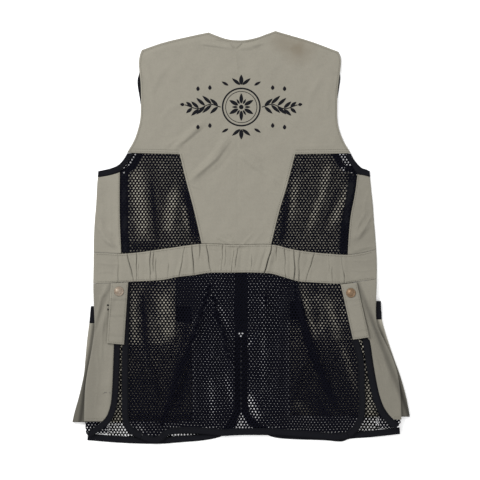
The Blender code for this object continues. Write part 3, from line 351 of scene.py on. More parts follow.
# Pleats in the waistband: x at its top and bottom edges, depth, start, end down the band
PLEATS = (
    (-227.7, -227.7, 0.5, 0, 1),
    (-211, -198, 1, 0, 1),
    (-194.4, -194.4, 0.7, 0, 1),
    (-190.2, -190.2, 0.5, 0.4, 1),
    (-168, -168, 0.9, 0, 1),
    (-162.1, -162.1, 0.6, 0, 0.7),
    (-157.6, -157.6, 0.7, 0.3, 1),
    (-134, -136, 0.25, 0.5, 1),
    (-104.2, -114.9, 0.8, 0, 1),
    (-91.4, -86.2, 1.3, 0, 1),
    (-76.6, -79.6, 0.8, 0, 0.45),
    (-64.9, -56.4, 1, 0, 1),
    (-34, -37.4, 0.6, 0, 1),
    (-28, -31.4, 0.4, 0.1, 0.8),
    (-13.5, -19.4, 0.6, 0.2, 1),
    (-6.5, -13, 0.6, 0.1, 0.8),
    (20, 16.8, 0.3, 0.4, 1),
    (56.2, 41.4, 2.6, 0, 1),
    (65.7, 60, 0.8, 0, 0.5),
    (79.6, 81.4, 0.7, 0, 1),
    (96.6, 97.5, 1.3, 0, 1),
    (108.2, 106, 0.8, 0, 1),
    (135.8, 118.9, 0.7, 0, 1),
    (161.3, 162, 0.4, 0, 0.6),
    (183.5, 190.6, 0.5, 0, 1),
    (168.4, 168.4, 0.6, 0.5, 1),
)
# The section across a pleat: the cloth climbs to the line, then drops and rises again
PLEAT_ACROSS = (-12, -8.5, -5, -2.4, -1, -0.2, 0.3, 0.9, 1.5, 2.4, 4, 7, 11)
PLEAT_HEIGHT = (0, -0.3, 0.35, 0.9, 1.1, 0.9, -0.9, -1.4, -0.8, 0.4, 0.8, 0.5, 0)

# Pleats of the pouch, where a second layer of its net lies under the first: line, half width
PLEAT_STRIPS = (
    (((-54, -84), (-98, -210), (-146, -345)), 4.6),
    (((-56, -99), (-38, -160), (-19, -227)), 3.4),
    (((97, -90), (123, -190), (165, -296)), 4.6),
    (((51, -88), (34, -178)), 3.4),
)

PLEAT_CUT = 10.2  # width that such a second layer is cut to

# The pouch's net and the front's net share one lattice, so their holes lie over each other
POUCH_LATTICE = {"slant": 0.06, "seed": 3, "drift": 1.3}

# Small dark bars of thread beside the left strap, and faint pen marks lower on the hip
DARK_MARKS = ((-244.6, -124.5), (-244, -132.5))
PEN_MARKS = (
    ((-253.4, -288), (-250.5, -284.6), (-248, -286.4), (-246.6, -283.4)),
    ((-243.2, -285), (-241.2, -287.2), (-239.6, -284.8)),
)
STAIN = (107, 348)
STAIN_RUN = (76, 361)

# Creases too small for the solids: start, middle, end, half width, height
CREASES = (
    # Yoke and centre
    ((-70, 214), (-108, 188), (-150, 162), 6, 0.8),
    ((-58, 210), (-96, 180), (-128, 160), 4, -0.5),
    ((-14, 186), (-47, 144), (-96, 104), 4.4, 1.3),
    ((-4, 176), (-34, 134), (-70, 108), 7, -0.7),
    ((-2, 157), (38, 129), (84, 100), 7, -1),
    ((6, 166), (48, 140), (90, 116), 6, 0.5),
    ((-20.5, 360), (-15, 353), (-9, 347), 2.6, -2),
    ((5, 360.5), (-2, 353), (-9, 347), 2.6, -2),
    ((-18, 358), (-32, 362), (-48, 364.5), 3, -1.3),
    ((3, 359), (18, 361), (34, 364), 3, -1.3),
    ((-24, 348), (-50, 351), (-76, 355), 3.4, -1.2),
    ((-56, 374), (-40, 367.5), (-24, 363), 1.8, -0.9),
    ((-26, 363.4), (-9, 361), (10, 361.4), 1.8, -0.9),
    ((6, 361.2), (28, 365.2), (46, 371.6), 1.8, -0.9),
    ((-12, 344), (-8, 326), (-6, 300), 3, 0.8),
    ((22, 353), (32, 348), (42, 342), 3.2, -0.7),
    ((-40, 354), (-52, 357), (-66, 361), 4, 0.7),
    ((20, 356), (32, 356), (46, 360), 4, 0.6),
    ((-8, 330), (-7, 180), (-6, 20), 2.4, -0.4),
    ((-103, 108), (-92, 96), (-66, 88), 3, 0.8),
    ((84, 76), (70, 82), (48, 84), 3, 0.6),
    ((-48, 4), (-32, -6), (-13, -14), 3.4, 1.3),
    ((-26, 8), (-16, -2), (-8, -14), 2.4, -0.8),
    ((24, 10), (12, -3), (2, -14), 3.4, 1),
    ((-90, 20), (-70, 6), (-58, -10), 4, 0.6),
    ((44, 14), (34, 4), (20, -12), 4, 0.5),
    ((-120, 330), (-150, 300), (-168, 262), 9, 0.9),
    ((-176, 330), (-166, 280), (-160, 220), 6, 0.6),
    ((150, 300), (128, 262), (120, 222), 9, 0.9),
    ((172, 320), (160, 270), (158, 210), 6, 0.6),
    ((-150, 216), (-130, 240), (-100, 252), 8, 0.8),
    ((60, 232), (96, 214), (130, 190), 8, 0.8),
    ((-60, 300), (-20, 306), (30, 300), 6, 0.5),
    ((90, 170), (130, 168), (180, 172), 5, 0.5),
    # Side strips
    ((-268, 50), (-256, 24), (-236, 4), 5, 1.8),
    ((-266, 26), (-250, -4), (-228, -20), 6, 2.8),
    ((-243, 84), (-241, 40), (-240, -6), 3, 0.7),
    ((-262, 96), (-256, 60), (-254, 30), 5, 0.6),
    ((244, 46), (230, 22), (214, -6), 3.6, 2.4),
    ((230, 46), (218, 26), (209, 4), 3.2, 1.6),
    ((248, -16), (226, -19), (204, -27), 3.2, 2),
    ((236, 90), (228, 60), (226, 20), 5, 0.7),
    # Waistband
    ((-28, -14), (-8, -16), (10, -14.5), 3.6, 1.8),
    ((0, -14), (4, -18), (9, -22), 2.2, -1.2),
    ((-14, -25), (-7, -19), (-2, -14), 2.2, 1.2),
    ((-34, -3), (-22, -7), (-10, -9), 2.4, 1.2),
    ((-60, -22), (-46, -26), (-34, -22), 3, -0.5),
    ((-268, -46), (-240, -50), (-222, -48), 3, 0.7),
    ((-268, -66), (-246, -62), (-226, -66), 3, 0.6),
    ((246, -40), (226, -44), (204, -42), 3, 0.7),
    ((246, -58), (222, -62), (200, -58), 3, 0.7),
    # Hips
    ((-246, -84), (-259, -115), (-266, -152), 5, 2.6),
    ((-240, -88), (-250, -104), (-268, -112), 3, 0.9),
    ((-250, -120), (-256, -180), (-258, -240), 4, 1.1),
    ((-268, -190), (-262, -250), (-268, -320), 4, 0.9),
    ((-236, -200), (-242, -262), (-246, -322), 5, 0.9),
    ((218, -92), (238, -160), (268, -240), 7, 3.4),
    ((230, -90), (240, -104), (246, -126), 3, 1),
    ((246, -150), (262, -190), (284, -262), 5, 1.8),
    ((238, -200), (262, -262), (278, -326), 4.4, 1.1),
)

# Creases across the straps: left or right strap, share of its length, height
STRAP_CREASES = (
    ("left", 0.24, 0.6), ("left", 0.285, -0.9), ("left", 0.52, 0.4), ("left", 0.56, -0.6),
    ("left", 0.84, 0.4), ("left", 0.88, -0.7),
    ("right", 0.27, 0.5), ("right", 0.32, -0.7), ("right", 0.84, 0.4), ("right", 0.885, -0.7),
)


# Curves in the plane

def ease(value, start, end):
    """0 at start and before it, 1 at end and after it, smooth between."""
    t = np.clip((value - start) / (end - start), 0.0, 1.0)
    return t * t * (3.0 - 2.0 * t)


CURVE_STEPS = 8  # a rounded curve's steps from one of its points to the next


def rounded(points, corners=(), steps=CURVE_STEPS):
    """A smooth curve through the points, which keeps the numbered ones sharp."""
    points = np.array(points, float)
    breaks = [0, *corners, len(points) - 1]
    curve = [points[0]]
    for first, last in zip(breaks[:-1], breaks[1:]):
        run = points[first:last + 1]
        if len(run) == 2:
            curve.append(run[1])
            continue
        run = np.vstack([2 * run[0] - run[1], run, 2 * run[-1] - run[-2]])
        for a, b, c, d in zip(run[:-3], run[1:-2], run[2:-1], run[3:]):
            for t in np.linspace(0, 1, steps + 1)[1:]:
                curve.append(0.5 * (2 * b + (c - a) * t + (2 * a - 5 * b + 4 * c - d) * t**2
                                    + (3 * b - a - 3 * c + d) * t**3))
    return np.array(curve)


def shares(curve):
    """How far along the curve each of its points lies, from 0 to 1."""
    lengths = np.concatenate([[0], np.cumsum(np.hypot(*np.diff(curve, axis=0).T))])
    return lengths / lengths[-1]


def at(curve, share, along=None):
    """The curve's points at these shares of its length, or of the line that along was read from."""
    along = shares(curve) if along is None else along
    return np.stack([np.interp(share, along, column) for column in curve.T], -1)


def share_of(curve, point):
    """The share at which the curve passes nearest the point."""
    return shares(curve)[np.argmin(np.hypot(*(curve - np.array(point)).T))]


def paced(curve, keys, counts):
    """Shares along the curve, closer together where it bends. They pass through the keys."""
    along = shares(curve)
    tangent = np.diff(curve, axis=0)
    heading = np.unwrap(np.arctan2(tangent[:, 1], tangent[:, 0]))
    bend = np.abs(np.gradient(heading)) if len(heading) > 2 else np.zeros(len(heading))
    found = [keys[0]]
    for a, b, count in zip(keys[:-1], keys[1:], counts):
        fine = np.linspace(a, b, 200)
        middle = (fine[:-1] + fine[1:]) / 2
        which = np.clip(np.searchsorted(along, middle) - 1, 0, len(bend) - 1)
        weight = bend[which] / np.maximum(np.diff(along)[which], 1e-9)
        mean = weight.mean()
        weight = 0.6 + np.minimum(weight / mean, 5.0) if mean * (b - a) > 0.05 else 1.0 + 0 * weight
        passed = np.concatenate([[0], np.cumsum(weight)])
        found += list(np.interp(np.linspace(0, passed[-1], count + 1)[1:], passed, fine))
    return np.array(found)


def length_of(curve):
    return np.hypot(*np.diff(curve, axis=0).T).sum()


def height_on(curve, x):
    """The curve's second coordinate where its first is x. The first only grows along it."""
    return np.interp(x, curve[:, 0], curve[:, 1])


def between(first, second, count):
    """Curves from the first to the second in this many even steps."""
    share = even(count)[:, None, None]
    return (1 - share) * first + share * second


def moved_left(curve, distance):
    """The curve moved to the left of the way that it runs."""
    tangent = np.gradient(curve, axis=0)
    tangent /= np.maximum(np.hypot(*tangent.T), 1e-9)[:, None]
    return curve + distance * np.stack([-tangent[:, 1], tangent[:, 0]], -1)


def coons(edges, places):
    """A grid in the plane, blended between the top, bottom, left and right edges.
    Left and right run down from the top. places holds the shares to use on each edge."""
    top, bottom, left, right = (at(edge, place) for edge, place in zip(edges, places))
    s = ((places[0] + places[1]) / 2)[None, :, None]
    t = ((places[2] + places[3]) / 2)[:, None, None]
    across = (1 - t) * top[None] + t * bottom[None]
    down = (1 - s) * left[:, None] + s * right[:, None]
    corners = ((1 - s) * (1 - t) * top[0] + s * (1 - t) * top[-1]
               + (1 - s) * t * bottom[0] + s * t * bottom[-1])
    return across + down - corners


def even(count):
    """Shares from 0 to 1 in this many steps."""
    return np.linspace(0, 1, count + 1)


def height_table(table):
    """From a table of (y, left x, right x): smooth curves that give x at a height, for each side."""
    return {side: rounded([(row[0], row[column]) for row in table])[::-1]
            for side, column in ((-1, 1), (1, 2))}


FOLD_CURVES = height_table(SIDE_FOLD)
BELLOWS_CURVES = height_table(BELLOWS_FOLD)
SHOULDER_LINE = rounded(NECK_AND_SHOULDERS, NECK_CORNERS)
BAND_TOP = rounded(WAISTBAND_TOP)
BAND_BOTTOM = rounded(WAISTBAND_BOTTOM)


def side_fold(side, y):
    return height_on(FOLD_CURVES[side], y)


def bellows_fold(side, y):
    return height_on(BELLOWS_CURVES[side], y)


def band_top_y(x):
    return height_on(BAND_TOP, x)


def band_bottom_y(x):
    return height_on(BAND_BOTTOM, x)


# Heights of the layers

def inward(x, y):
    """Distance in from the nearer side fold."""
    return np.minimum(x - side_fold(-1, y), side_fold(1, y) - x)


def front_level(x, y):
    """Middle surface of the front, which lies on the floor and on the pockets."""
    within = inward(x, y)
    over_hip = ease(y, -52, -84) * ease(y, -378, -346) * ease(within, 72, 40)
    over_face = ease(np.abs(x), POCKET_INNER_X - 24, POCKET_INNER_X - 5)
    over_bellows = ease(within, 92, 34)
    over_pocket = ease(y, -56, -118) * ease(y, -378, -345)
    over_slider = ease(np.hypot(x, y - ZIP_TOP_Y), 44, 16)
    return (HALF + HIP_SPACE * over_hip + SLIDER_LIFT * over_slider
            + over_pocket * (FACE_SPACE * over_face + BELLOWS_SPACE * over_bellows))


def ridge(x, y, start, middle, end, half_width, height):
    """One fold: a rounded ridge along a bent line, fading out at both ends."""
    found = np.zeros(np.broadcast(x, y).shape)
    for (ax, ay), (bx, by), share in ((start, middle, 0.0), (middle, end, 0.5)):
        dx, dy = bx - ax, by - ay
        t = np.clip(((x - ax) * dx + (y - ay) * dy) / (dx * dx + dy * dy), 0, 1)
        away = np.hypot(x - ax - t * dx, y - ay - t * dy)
        along = share + t / 2
        fade = ease(along, -0.06, 0.3) * ease(along, 1.06, 0.75)
        found = np.maximum(found, fade * np.cos(np.pi / 2 * np.clip(away / half_width, 0, 1)) ** 2)
    return height * found


def folds(x, y):
    """The largest folds, which run out just before the side folds."""
    found = np.sqrt(sum(ridge(x, y, *row) ** 2 for row in FOLDS))
    return found * ease(inward(x, y), 2.5, 13.0)


def back_level(x, y):
    """Middle surface of the back, with its largest folds. It comes down to the shoulder seams."""
    shoulder = height_on(SHOULDER_LINE, x) - y
    at_seam = ease(shoulder, 14, 1) * ease(np.abs(x), 46, 60)
    return front_level(x, y) + BACK_GAP - SHOULDER_DROP * at_seam + folds(x, y)


def on(level, rise=0.0):
    """Lifts a plane grid onto a layer."""
    def lift(grid):
        x, y = grid[..., 0], grid[..., 1]
        return np.stack([x, y, level(x, y) + rise], -1)
    return lift


def wrapped(side, top_level, under_level, inset=0.0):
    """Lifts a grid of (distance in from the fold, y) round a fold, inset from the side fold.
    A distance is positive on the upper side and negative on the underside."""
    def lift(grid):
        w, y = grid[..., 0], grid[..., 1]
        fold = side_fold(side, y) - side * inset
        x = fold - side * np.abs(w)
        high, low = top_level(x, y), under_level(x, y)
        rim_x = fold - side * RIM
        rim_high, rim_low = top_level(rim_x, y), under_level(rim_x, y)
        radius = (rim_high - rim_low) / 2
        angle = np.clip(w / radius, -1, 1) * np.pi / 2
        turned_x = fold - side * radius * (1 - np.cos(angle))
        turned_z = (rim_high + rim_low) / 2 + radius * np.sin(angle)
        flat = np.abs(w) >= radius
        return np.stack([np.where(flat, x, turned_x), y,
                         np.where(flat, np.where(w > 0, high, low), turned_z)], -1)
    return lift


def wrap_grid(under, over, radius, top_y, bottom_y, columns, rows):
    """A grid of (w, y) from the underside round the fold to the upper side.
    under and over give how far in it reaches at a height, top_y and bottom_y its ends at a w."""
    below, above = columns
    turn = list(np.array([-1, -0.62, -0.2, 0.2, 0.62, 1]) * radius)
    grid = []
    for t in rows:
        row = []
        for k in range(below + above + len(turn)):
            y = (top_y(0) + bottom_y(0)) / 2
            for _ in range(4):
                if k < below:
                    share = 1 - k / below
                    w = -radius - share * (under(y) - radius)
                elif k < below + len(turn):
                    w = turn[k - below]
                else:
                    share = (k - below - len(turn) + 1) / above
                    w = radius + share * (over(y) - radius)
                y = (1 - t) * top_y(w) + t * bottom_y(w)
            row.append((w, y))
        grid.append(row)
    return np.array(grid)


# Finer heights, for the looks alone

def ripple(x, y, seed, size):
    """A smooth seeded unevenness from -1 to 1, with waves of about this size."""
    draw = np.random.default_rng(seed)
    found = 0.0
    for _ in range(6):
        heading, phase = draw.uniform(0, 2 * math.pi, 2)
        wave = 2 * math.pi / (size * draw.uniform(0.6, 1.7))
        found = found + np.sin(wave * (x * math.cos(heading) + y * math.sin(heading)) + phase)
    return found / 3.2


def wrinkles(x, y):
    """Creases and a slight unevenness on every piece of the back."""
    small = sum(ridge(x, y, *row) for row in CREASES)
    return (small + 0.40 * ripple(x, y, 5, 44.0) + 0.14 * ripple(x, y, 6, 19.0)
            + 0.05 * ripple(x, y, 7, 8.0))


def worn_back(x, y):
    return back_level(x, y) + wrinkles(x, y)


def worn_front(x, y):
    lifted = front_level(x, y)
    return lifted + 0.25 * (1 + ripple(x, y, 9, 60.0)) * ease(lifted, 0.8, 2.0)


# Making pieces

LOOKS = {}


def link(name, mesh, look, slot, nodes=(), flat=None, rests_on=()):
    """Puts a mesh in the scene as a piece of the vest."""
    mesh.materials.append(LOOKS[look])
    obj = bpy.data.objects.new(name, mesh)
    bpy.context.scene.collection.objects.link(obj)
    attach(obj, "root")
    if nodes:
        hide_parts(*nodes)
    if flat:
        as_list(rests_on)
    return obj


def grid_faces(rows, columns, first=0):
    """The faces of a grid whose points are numbered row by row from first."""
    corners = (0, columns, columns + 1, 1)
    return [tuple(first + i * columns + j + corner for corner in corners)
            for i in range(rows - 1) for j in range(columns - 1)]


def welded(name, grids, near=0.01):
    """One mesh of several grids of points, joined where they meet, with its faces turned alike."""
    points, faces = [], []
    for grid in grids:
        faces += grid_faces(*grid.shape[:2], len(points))
        points += grid.reshape(-1, 3).tolist()
    mesh = mesh_of(name, points, faces)
    bm = bmesh.new()
    bm.from_mesh(mesh)
    bmesh.ops.remove_doubles(bm, verts=bm.verts, dist=near * MM)
    bmesh.ops.recalc_face_normals(bm, faces=bm.faces)
    bm.to_mesh(mesh)
    bm.free()
    mesh.shade_smooth()
    return mesh


def mesh_of(name, points, faces, smooth=True):
    """A mesh from points in millimetres."""
    mesh = bpy.data.meshes.new(name)
    mesh.from_pydata((np.asarray(points) * MM).tolist(), [], [list(map(int, f)) for f in faces])
    mesh.validate()
    if smooth:
        mesh.shade_smooth()
    mesh.update()
    return mesh


def grid_area(grid):
    """The area of a grid of points in space."""
    a, b, c, d = grid[:-1, :-1], grid[1:, :-1], grid[1:, 1:], grid[:-1, 1:]
    return (np.linalg.norm(np.cross(b - a, c - a), axis=-1).sum()
            + np.linalg.norm(np.cross(c - a, d - a), axis=-1).sum()) / 2


def cloth(name, grids, look, slot, nodes=(), thickness=CLOTH, rests_on=(),
          end_to_end=None):
    """One piece of cloth: its grids of middle points, joined and given a wall.
    end_to_end says that the grids follow each other down or across the piece."""
    steps_across = [np.linalg.norm(np.diff(grid, axis=1), axis=-1).sum(1).max() for grid in grids]
    steps_down = [np.linalg.norm(np.diff(grid, axis=0), axis=-1).sum(0).max() for grid in grids]
    wide = sum(steps_across) if end_to_end == "across" else max(steps_across)
    long = sum(steps_down) if end_to_end == "down" else max(steps_down)
    area = min(sum(grid_area(grid) for grid in grids), wide * long)
    obj = link(name, welded(name, grids), look, slot, nodes, (wide * MM, long * MM),
               rests_on)
    wall = obj.modifiers.new("wall", "SOLIDIFY")
    wall.thickness = thickness * MM
    wall.offset = 0.0
    wall.use_even_offset = True
    wall.use_quality_normals = True
    return obj


def strip(node, edge, width, lift, steps, thickness=BINDING, start=0.0, end=1.0, kind="tape"):
    """A tape for a node, between a curve and the same curve moved to its left."""
    place = paced(edge, (start, end), (steps,))
    sides = [at(curve, place, shares(edge)) for curve in (edge, moved_left(edge, width))]
    grid = lift(between(*sides, TAPE_COLUMNS).swapaxes(0, 1))
    grid[..., 2] += TAPE_CROWN * np.sin(math.pi * even(TAPE_COLUMNS)) ** 0.6
    stitch_along(sides[0] * 0.16 + sides[1] * 0.84, lift, thickness / 2 + 0.3, "black", 3.0)
    cloth(f"{node}_{kind}", [grid], "tape", "black_tape", (node,), thickness)


# Stitches

STITCHES = {"khaki": [], "black": [], "ink": []}
STITCH_PITCH = 3.3
STITCH_LENGTH = 2.4


def sew(place, middles, half, rise=SEWN_RISE, thread="khaki", radius=0.3):
    """Raised stitches at these shares of a line, kept until they are joined by thread.
    place gives the points at some shares, and half is the share of half a stitch."""
    ends = [place(middles + k * half) for k in (-1.0, -0.6, 0.6, 1.0)]
    for k, end in enumerate(ends):
        end[:, 2] += rise + (radius * 0.6 if k in (1, 2) else -0.1)
    STITCHES[thread].append((np.stack(ends, 1), radius))


def stitch_along(curve, lift, rise=SEWN_RISE, thread="khaki", pitch=STITCH_PITCH,
                 length=STITCH_LENGTH, radius=0.3):
    """Stitches along a plane curve."""
    total = length_of(curve)
    middles = (np.arange(int(total / pitch)) + 0.5) * pitch / total
    if len(middles):
        sew(lambda share: lift(at(curve, share)), middles, length / 2 / total, rise, thread, radius)


def join_stitches():
    """Makes one piece of all the stitches of each thread, each a small eight-sided spindle."""
    for thread, runs in STITCHES.items():
        points, faces, first = [], [], 0
        for ends, radius in runs:
            along = ends[:, 3] - ends[:, 0]
            along /= np.maximum(np.linalg.norm(along, axis=-1, keepdims=True), 1e-9)
            side = np.cross(along, (0, 0, 1.0)) * radius
            up = np.array([0, 0, radius])
            rings = [ends[:, k] + way for k in (1, 2) for way in (side, up, -side, -up)]
            found = np.stack([ends[:, 0], *rings, ends[:, 3]], 1)
            points.append(found.reshape(-1, 3))
            one = [(0, 1 + (k + 1) % 4, 1 + k) for k in range(4)]
            one += [(9, 5 + k, 5 + (k + 1) % 4) for k in range(4)]
            quads = [(1 + k, 1 + (k + 1) % 4, 5 + (k + 1) % 4, 5 + k) for k in range(4)]
            for n in range(len(found)):
                base = first + 10 * n
                faces += [tuple(base + v for v in face) for face in one + quads]
            first += 10 * len(found)
        mesh = mesh_of(f"stitches_{thread}", np.vstack(points), faces)
        link(f"stitches_{thread}", mesh, f"{thread}_thread",
             "khaki_cotton" if thread == "khaki" else "black_tape")


# Net

PITCH = 6.1  # from hole to hole along a row
ROW = 4.8  # from row to row
HOLE = (1.86, 1.92)  # half width and half height of a hole where the net is wide open
NET = 0.6  # thickness of the net's strands


def inside_distance(points, polygon):
    """Distance from each point to a closed outline, positive inside it."""
    a, b = polygon, np.roll(polygon, -1, axis=0)
    best = np.full(len(points), 1e9)
    crossings = np.zeros(len(points), int)
    for (ax, ay), (bx, by) in zip(a, b):
        dx, dy = bx - ax, by - ay
        t = np.clip(((points[:, 0] - ax) * dx + (points[:, 1] - ay) * dy)
                    / max(dx * dx + dy * dy, 1e-12), 0, 1)
        best = np.minimum(best, np.hypot(points[:, 0] - ax - t * dx, points[:, 1] - ay - t * dy))
        if ay != by:
            spans = (points[:, 1] >= min(ay, by)) & (points[:, 1] < max(ay, by))
            crossings += spans & (points[:, 0] < ax + (points[:, 1] - ay) / dy * dx)
    return np.where(crossings % 2 == 1, best, -best)


def stretch(base, bands, most=0.95):
    """How far open a net's holes are at a point: base, and more or less along each band."""
    def found(x, y):
        return np.clip(base + sum(ridge(x, y, *row) for row in bands), 0.25, most)
    return found


def net(name, outline, lift, nodes, opening, reach=4.0, slant=0.0, shift=(0.0, 0.0), seed=1,
        rests_on=(), cut=None, drift=0.35, look="net"):
    """Knitted net as real strands: cells of a staggered grid, each with a rounded hole.
    outline is in the plane that lift takes its points from; reach is how far past it the net
    runs, under the tape or the cotton that is sewn over its edge; cut is the flat size, where
    it isn't the outline's box."""
    outline = np.asarray(outline, float)
    low, high = outline.min(0) - reach - PITCH, outline.max(0) + reach + PITCH
    first, last = (low / (PITCH, ROW)).astype(int) - 1, (high / (PITCH, ROW)).astype(int) + 2
    j, i = np.meshgrid(np.arange(first[1], last[1]), np.arange(first[0], last[0]), indexing="ij")
    flat = np.stack([(i + 0.5 * (j % 2)) * PITCH, j * ROW], -1).reshape(-1, 2)
    flat = flat + np.array(shift)

    def placed(points):
        u, v = points[:, 0], points[:, 1]
        return points + drift * np.stack([ripple(u, v, seed, 70.0), ripple(u, v, seed + 40, 70.0)],
                                         -1)

    keep = inside_distance(placed(flat), outline) > -reach
    flat = flat[keep]
    side = (ROW**2 - PITCH**2 / 4) / (2 * ROW)
    corners = np.array([(0, ROW - side), (-PITCH / 2, side), (-PITCH / 2, -side),
                        (0, side - ROW), (PITCH / 2, -side), (PITCH / 2, side)])
    angles = np.radians(90 + 30 * np.arange(12))
    hole = np.stack([HOLE[0] * np.cos(angles), HOLE[1] * np.sin(angles)], -1)
    hole[:, 0] += slant * hole[:, 1]
    centres = placed(flat)
    draw = np.random.default_rng(seed + 100)
    wide_open = opening(centres[:, 0], centres[:, 1]) * draw.uniform(0.93, 1.07, len(flat))
    rim = (flat[:, None] + corners[None]).reshape(-1, 2)
    keys, index = np.unique(np.round(rim * 50).astype(np.int64), axis=0, return_inverse=True)
    index = index.reshape(len(flat), 6)
    rim_points = np.zeros((len(keys), 2))
    rim_points[index.reshape(-1)] = rim
    hole_points = (flat[:, None] + hole[None] * wide_open[:, None, None]).reshape(-1, 2)
    rim_points = placed(rim_points)
    rims, holes = lift(rim_points), lift(placed(hole_points))
    right, ahead = (lift(rim_points + way) - lift(rim_points - way)
                    for way in (np.array([0.4, 0]), np.array([0, 0.4])))
    normals = np.cross(right, ahead)
    normals /= np.maximum(np.linalg.norm(normals, axis=-1, keepdims=True), 1e-9)
    count = len(rims)
    points = np.vstack([rims + normals * NET / 2, rims - normals * NET / 2, holes])
    faces = []
    first = 2 * count + 12 * np.arange(len(flat))
    for k in range(6):
        a, b = index[:, k], index[:, (k + 1) % 6]
        h0, h1, h2 = first + 2 * k, first + (2 * k + 1), first + (2 * k + 2) % 12
        low_a, low_b = a + count, b + count
        for three in ((a, b, h1), (a, h1, h0), (b, h2, h1), (h1, low_b, low_a),
                      (h0, h1, low_a), (h1, h2, low_b)):
            faces.append(np.stack(three, -1))
    edges = np.vstack([np.stack([index[:, k], index[:, (k + 1) % 6]], -1) for k in range(6)])
    ordered = np.sort(edges, axis=1)
    _, back, uses = np.unique(ordered, axis=0, return_inverse=True, return_counts=True)
    single = edges[uses[back.reshape(-1)] == 1]
    faces.append(np.stack([single[:, 0], single[:, 0] + count, single[:, 1]], -1))
    faces.append(np.stack([single[:, 1], single[:, 0] + count, single[:, 1] + count], -1))
    faces = np.vstack(faces)
    mesh = mesh_of(name, points, faces)
    a, b, c = points[faces[:, 0]], points[faces[:, 1]], points[faces[:, 2]]
    box = np.array(cut) * MM if cut else (high - low) * MM
    return link(name, mesh, look, "black_net", nodes, tuple(box), rests_on)


# Back

def back_panel():
    """Yoke and the tapering centre below it, cut as one piece, with its rows of stitches."""
    top = rounded(NECK_AND_SHOULDERS, NECK_CORNERS)
    hem = np.array(YOKE_HEM)
    a, b = (share_of(hem, YOKE_HEM[i]) for i in (1, 2))
    c, d = (share_of(top, NECK_AND_SHOULDERS[i]) for i in NECK_CORNERS)
    counts = [10 * n for n in (4, 3, 7, 3, 4)]
    sides = [rounded(BACK_ARMHOLE[word]) for word, _ in SIDES]
    yoke = coons(
        (top, hem, *sides),
        (paced(top, (0, 0.62 * c, c, d, d + 0.38 * (1 - d), 1), counts),
         paced(hem, (0, a, a + 0.22 * (b - a), a + 0.78 * (b - a), b, 1), counts),
         *(paced(side, (0, 1), (108,)) for side in sides)),
    )
    shared = yoke[-1, counts[0]:sum(counts[:4]) + 1]
    tapers = [rounded(TAPER[word]) for word, _ in SIDES]
    x = np.linspace(tapers[0][-1][0], tapers[1][-1][0], 60)
    waist = np.stack([x, band_top_y(x) + SEAM], -1)
    taper = coons((shared, waist, *tapers), (shares(shared), shares(shared), even(92), even(92)))
    lift = on(worn_back)
    cloth("back_panel_cloth", [lift(yoke), lift(taper)], "khaki", "khaki_cotton", ("back_panel",),
          rests_on=("front_upper_left", "front_upper_right"), end_to_end="down")
    runs = zip((0, *NECK_CORNERS), (*NECK_CORNERS, len(NECK_AND_SHOULDERS) - 1))
    shoulders_and_neck = [top[first * CURVE_STEPS:last * CURVE_STEPS + 1] for first, last in runs]
    for edge, way in (*((edge, -1) for edge in shoulders_and_neck), (sides[0], 1), (sides[1], -1),
                      (tapers[0], 1), (tapers[1], -1)):
        stitch_along(moved_left(edge, way * 3.4), lift)
    for first, last in ((YOKE_HEM[0], YOKE_HEM[1]), (YOKE_HEM[2], YOKE_HEM[3])):
        run = np.linspace(first, last, 12)
        for away in (3.4, 7.4):
            stitch_along(run + np.array([0, away]), lift)


def inset_level(x, y):
    """The net lies nearer to the cotton under it where it is stretched."""
    stretched = sum(ridge(x, y, *row) for row in INSET_BANDS)
    return worn_front(x, y) + 1.35 + (worn_back(x, y) - worn_front(x, y) - 1.35) * np.clip(
        0.42 - 1.6 * stretched, 0.0, 0.9)


def insets():
    """Net panels between the yoke, the tapering centre, the side strips and the waistband."""
    for word, side in SIDES:
        outer_edge, inner_edge = rounded(INSET_OUTER[word], (INSET_CORNER,)), rounded(TAPER[word])
        xs = np.linspace(outer_edge[-1][0], inner_edge[-1][0], 24)
        bottom = np.stack([xs, band_top_y(xs)], -1)
        outline = np.vstack([outer_edge, bottom, inner_edge[::-1]])
        net(f"inset_{word}_net", outline, on(inset_level), (f"inset_{word}",),
            reach=5.0, slant=0.12, seed=11 + side, opening=stretch(0.80, INSET_BANDS),
            rests_on=(f"front_upper_{word}",))


def seam_tapes():
    """Taped seam allowance that lies under each net panel's outer edge."""
    for word, side in SIDES:
        edge = rounded(INSET_OUTER[word][INSET_CORNER:]) - np.array([side * 0.6, 0.0])
        strip(f"seam_tape_{word}", edge, -side * 14.0, on(front_level, SEAM_TAPE_RISE), 60, 0.8,
              0.02, 0.985, kind="cloth")


